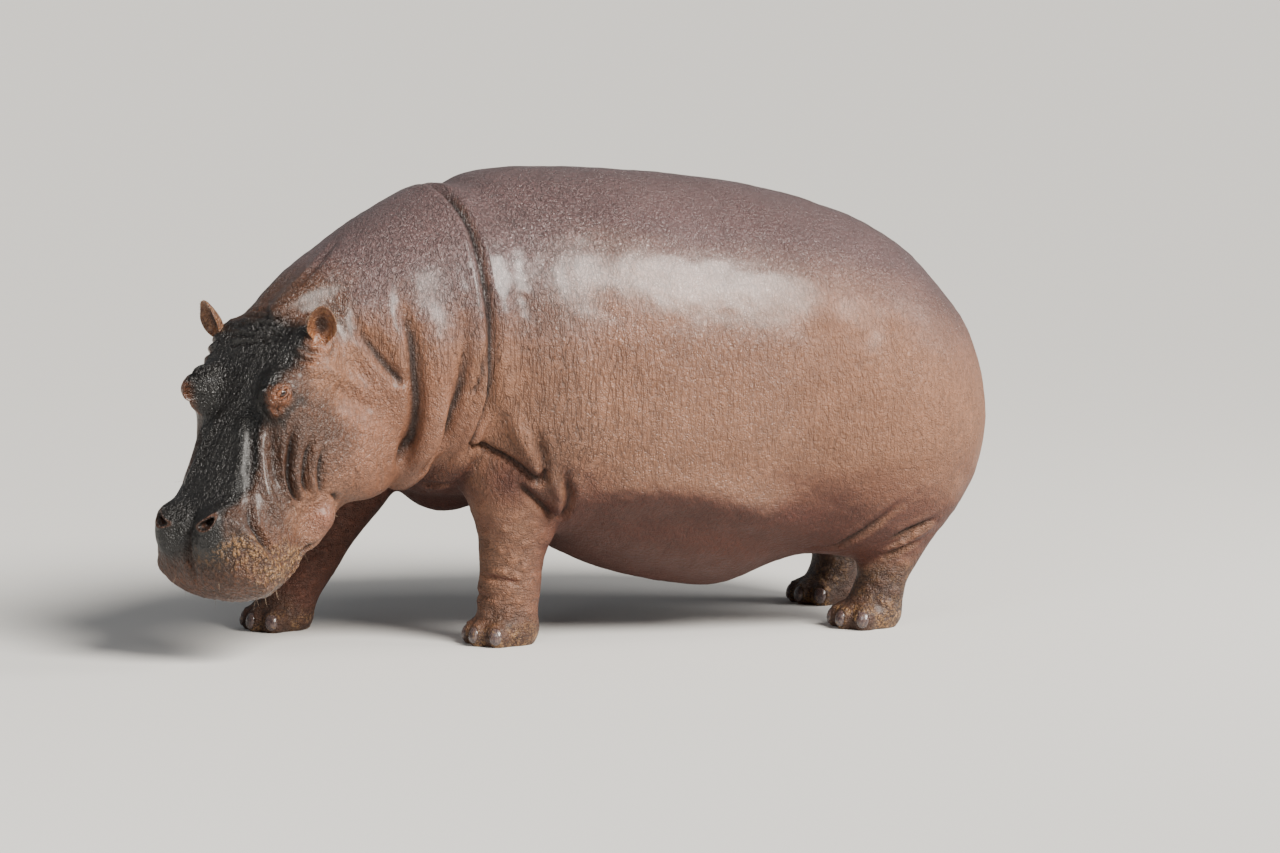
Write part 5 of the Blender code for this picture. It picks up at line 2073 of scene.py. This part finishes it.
@dataclass
class BristleCoat:
    """Stiff hairs of one crop, as one mesh of thin tapered tubes."""

    crop: Crop
    skin: Object
    seed: int = 11
    sides: int = 4
    steps: int = 6

    def rays(self, starts: Array, ways: Array) -> list[tuple[Array, Array]]:
        """Rays sent into the body.

        Args:
            starts: where they start.
            ways: their directions.

        Returns:
            Place and outward direction where each one that hits first meets the skin.
        """
        found = []
        for start, way in zip(starts, ways):
            hit, place, normal, _ = self.skin.ray_cast(Vector(start), Vector(way))
            if hit:
                found.append((np.array(place), np.array(normal)))
        return found

    def lips(self, rng: np.random.Generator) -> list[Bristle]:
        """Whiskers on the nose, the lips and the chin, in loose tufts.

        Args:
            rng: random numbers.

        Returns:
            The bristles.
        """
        rows = []
        for side in (1, -1):
            for _ in range(15):
                forward = rng.uniform(0.22, 0.54)
                upward = rng.uniform(-0.34, -0.10)
                start = HEAD.at(forward, 0.5 * side, upward)
                rows.append((start, HEAD.at(forward, 0.0, upward) - start))
            for _ in range(5):
                forward = rng.uniform(0.16, 0.50)
                start = HEAD.at(forward, 0.12 * side + rng.uniform(-0.05, 0.05), -0.80)
                rows.append((start, HEAD.upward))
        for _ in range(9):
            out, upward = rng.uniform(-0.16, 0.16), rng.uniform(-0.34, -0.14)
            rows.append((HEAD.at(0.9, out, upward), -HEAD.forward))
        found = self.rays([start for start, _ in rows], [unit(way) for _, way in rows])
        hairs = []
        for root, normal in found:
            for _ in range(rng.integers(1, 3)):
                leaving = unit(normal + 0.22 * rng.normal(size=3) + np.array([0, 0, -0.35]))
                local = HEAD.inside(root[None, :])[0]
                patch = (0.5 + 0.45 * math.atan2(local[1], local[2] + 0.22) / math.pi,
                         0.1 + 0.8 * (local[0] + 0.1) / 0.75)
                hairs.append(Bristle(root - 0.002 * normal, leaving, rng.uniform(0.012, 0.038),
                                     rng.uniform(0.00030, 0.00045), rng.uniform(0.05, 0.40), patch,
                                     rng.uniform()))
        return hairs

    def ears(self, rng: np.random.Generator) -> list[Bristle]:
        """Short fringe round the rim of both ears.

        Args:
            rng: random numbers.

        Returns:
            The bristles.
        """
        hairs = []
        for _, side in SIDES:
            middle, across, opening, upward = EarShape(side).axes()
            for _ in range(150):
                angle = rng.uniform(-0.25, 1.25) * math.pi
                out = unit(math.cos(angle) * across + math.sin(angle) * upward)
                start = middle + out * 0.12 + opening * rng.uniform(-0.002, 0.008)
                hits = self.rays([start], [-out])
                if not hits:
                    continue
                root, _ = hits[0]
                if np.linalg.norm(root - middle) > 0.075:
                    continue
                leaving = unit(out + 0.5 * opening + 0.3 * rng.normal(size=3))
                patch = (0.5 + 0.2 * side + 0.12 * math.cos(angle), 0.5 + 0.2 * math.sin(angle))
                hairs.append(Bristle(root - 0.001 * out, leaving, rng.uniform(0.006, 0.014),
                                     rng.uniform(0.00028, 0.00045), 0.15, patch, rng.uniform()))
        return hairs

    def tail(self, rng: np.random.Generator) -> list[Bristle]:
        """Stiff bristles on the two edges and the end of the tail.

        Args:
            rng: random numbers.

        Returns:
            The bristles.
        """
        form = TailShape.form
        hairs = []
        for _ in range(220):
            along = 0.415 - 0.17 * rng.uniform() ** 1.6
            side = rng.choice((-1, 1))
            axis = form.origin + form.along * along
            out = unit(form.side * side + form.up * rng.uniform(-0.5, 0.5))
            hits = self.rays([axis + out * 0.10], [-out])
            if not hits:
                continue
            root, _ = hits[0]
            if np.linalg.norm(root - axis) > 0.05:
                continue
            leaving = unit(0.8 * out + 0.9 * form.along + 0.15 * rng.normal(size=3))
            patch = (0.5 + 0.3 * side * rng.uniform(0.2, 1.0), along / 0.45)
            hairs.append(Bristle(root - 0.001 * out, leaving, rng.uniform(0.015, 0.045),
                                 rng.uniform(0.0004, 0.0006), 0.2, patch, rng.uniform()))
        return hairs

    def build(self) -> Object:
        """The crop's mesh in the maker's frame, with its map and attribute."""
        rng = np.random.default_rng(self.seed)
        grow = {Crop.LIPS: self.lips, Crop.EARS: self.ears, Crop.TAIL: self.tail}
        hairs = grow[self.crop](rng)
        shape = bmesh.new()
        chart = shape.loops.layers.uv.new("OFBake")
        values = shape.verts.layers.float_color.new("bristle_map")
        for hair in hairs:
            self.add_tube(shape, chart, values, hair)
        mesh = bpy.data.meshes.new(self.crop.value)
        shape.to_mesh(mesh)
        shape.free()
        item = bpy.data.objects.new(self.crop.value, mesh)
        bpy.context.scene.collection.objects.link(item)
        return Modeller.smooth(item)

    def add_tube(self, shape: bmesh.types.BMesh, chart: object, values: object,
                 hair: Bristle) -> None:
        """Adds one bristle to the mesh.

        Args:
            shape: the mesh that grows.
            chart: its layer of UV places.
            values: its layer of colours.
            hair: the bristle.
        """
        aside = unit(np.cross(hair.leaving, [0.31, 0.52, 0.79]))
        other = np.cross(hair.leaving, aside)
        rings = []
        for step in range(self.steps):
            share = step / self.steps
            middle = (hair.root + hair.leaving * hair.length * share
                      - np.array([0, 0, 1]) * hair.sag * hair.length * share ** 2)
            radius = hair.radius * (1.0 - 0.75 * share)
            ring = []
            for turn in range(self.sides):
                angle = 2 * math.pi * turn / self.sides
                place = middle + radius * (math.cos(angle) * aside + math.sin(angle) * other)
                ring.append(shape.verts.new(place))
                ring[-1][values] = (share, hair.shade, 0.0, 1.0)
            rings.append(ring)
        tip = shape.verts.new(hair.root + hair.leaving * hair.length
                              - np.array([0, 0, 1]) * hair.sag * hair.length)
        tip[values] = (1.0, hair.shade, 0.0, 1.0)
        faces = [shape.faces.new(list(reversed(rings[0])))]
        for low, high in zip(rings, rings[1:]):
            faces += [shape.faces.new((low[i], low[(i + 1) % self.sides],
                                       high[(i + 1) % self.sides], high[i]))
                      for i in range(self.sides)]
        faces += [shape.faces.new((rings[-1][i], rings[-1][(i + 1) % self.sides], tip))
                  for i in range(self.sides)]
        patch_size = 0.003
        for face in faces:
            for loop in face.loops:
                share = loop.vert[values][0]
                shift = (patch_size * (loop.index % 2), patch_size * share)
                loop[chart].uv = (hair.patch[0] + shift[0], hair.patch[1] + shift[1])


# ---------- studio
@dataclass(frozen=True)
class Studio:
    """Pale floor, soft lights and the camera."""

    target: Vec3 = (0.0, 0.0, 0.62)
    azimuth: float = 70.0
    elevation: float = 5.5
    distance: float = 16.7
    lens: float = 150.3
    floor_reach: float = 400.0

    def floor(self) -> Object:
        """One flat pale floor."""
        Modeller.deselect()
        bpy.ops.mesh.primitive_plane_add(size=2 * self.floor_reach, location=(0, 0, 0))
        item = bpy.context.object
        item.name = "floor"
        item.data.materials.append(FloorFinish().build())
        return item

    def lamp(self, name: str, kind: str, toward: Vec3, distance: float, power: float,
             tint: Vec3) -> bpy.types.Light:
        """One lamp that looks at the middle of the body.

        Args:
            name: the lamp's name.
            kind: SUN or AREA.
            toward: direction from the body to the lamp.
            distance: how far it stands.
            power: its strength, in watts where it isn't a sun.
            tint: its colour.

        Returns:
            The lamp's data, whose breadth is still to be set.
        """
        lamp = bpy.data.lights.new(name, kind)
        lamp.energy = power
        lamp.color = tint
        item = bpy.data.objects.new(name, lamp)
        way = Vector(unit(toward))
        item.location = Vector(self.target) + way * distance
        item.rotation_euler = way.to_track_quat("Z", "Y").to_euler()
        bpy.context.scene.collection.objects.link(item)
        return lamp

    def camera(self, shift: Array) -> None:
        """The camera, where the animal is seen from.

        Args:
            shift: from the maker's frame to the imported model's.
        """
        azimuth, elevation = math.radians(self.azimuth), math.radians(self.elevation)
        level = math.cos(elevation)
        back = Vector((math.sin(azimuth) * level, -math.cos(azimuth) * level, math.sin(elevation)))
        lens = bpy.data.cameras.new("camera")
        lens.lens = self.lens
        lens.sensor_width = 36.0
        lens.clip_end = 2 * self.floor_reach
        item = bpy.data.objects.new("camera", lens)
        item.location = Vector(self.target) + Vector(shift) + back * self.distance
        item.rotation_euler = back.to_track_quat("Z", "Y").to_euler()
        bpy.context.scene.collection.objects.link(item)
        bpy.context.scene.camera = item

    def world(self) -> None:
        """Even pale light from all round."""
        world = bpy.data.worlds.new("studio")
        world.use_nodes = True
        sky = world.node_tree.nodes["Background"]
        sky.inputs["Color"].default_value = (0.93, 0.96, 1.0, 1.0)
        sky.inputs["Strength"].default_value = 0.22
        bpy.context.scene.world = world

    def build(self, shift: Array) -> None:
        """Floor, lights and camera.

        Args:
            shift: from the maker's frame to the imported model's.
        """
        self.floor()
        self.world()
        key = self.lamp("key", "SUN", (0.70, 0.33, 0.62), 8.0, 9.0, (1.0, 0.95, 0.88))
        key.angle = math.radians(28)
        front = self.lamp("front", "AREA", (0.80, -0.55, 0.50), 8.0, 150.0, (1.0, 1.0, 1.0))
        rear = self.lamp("rear", "AREA", (0.30, 0.84, 0.46), 8.0, 420.0, (1.0, 0.97, 0.93))
        for panel, size in ((front, 3.0), (rear, 3.2)):
            panel.shape = "SQUARE"
            panel.size = size
        self.camera(shift)


# ---------- the model
@dataclass
class Hippopotamus:
    """All the pieces of the model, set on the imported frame."""

    shift: Array

    def settle_in(self, item: Object, finish: bpy.types.Material,
                  nodes: Sequence[str] = ()) -> None:
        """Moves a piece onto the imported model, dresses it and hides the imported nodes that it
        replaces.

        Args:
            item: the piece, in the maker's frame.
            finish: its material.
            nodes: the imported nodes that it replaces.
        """
        Modeller.set_places(item, Modeller.places(item) + self.shift)
        item.data.materials.clear()
        item.data.materials.append(finish)
        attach(item, BODY)
        if nodes:
            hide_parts(*nodes)
        LOG.info("%s: %d vertices, %d faces", item.name, len(item.data.vertices),
                 len(item.data.polygons))

    def build(self, nodes: Sequence[str]) -> None:
        """Makes every piece.

        Args:
            nodes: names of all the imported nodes.
        """
        skin = Skin().build()
        coats = [BristleCoat(crop, skin).build() for crop in Crop]
        eyes = {f"eye_{name}": EyeBall(side) for name, side in SIDES}
        flesh = [node for node in nodes if node not in eyes and node not in NAIL_BEDS]
        self.settle_in(skin, HideFinish().build(), flesh)
        glass = EyeFinish().build()
        for node, ball in eyes.items():
            self.settle_in(ball.build(f"{node}_ball"), glass, [node])
        horn = HornFinish().build()
        for node, bed in NAIL_BEDS.items():
            self.settle_in(Nail(bed).build(f"{node}_plate"), horn, [node])
        pale = BristleFinish().build()
        for coat in coats:
            self.settle_in(coat, pale)


def main() -> None:
    """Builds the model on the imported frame, and the studio round it."""
    logging.basicConfig(level=logging.INFO, format="%(name)s: %(message)s")
    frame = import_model()
    low, high = (np.array(corner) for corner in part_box("eye_left"))
    shift = (low + high) / 2 - BUILD.eye_middle(1)
    Hippopotamus(shift).build(list(frame["nodes"]))
    Studio().build(shift)


if __name__ == "__main__":
    main()
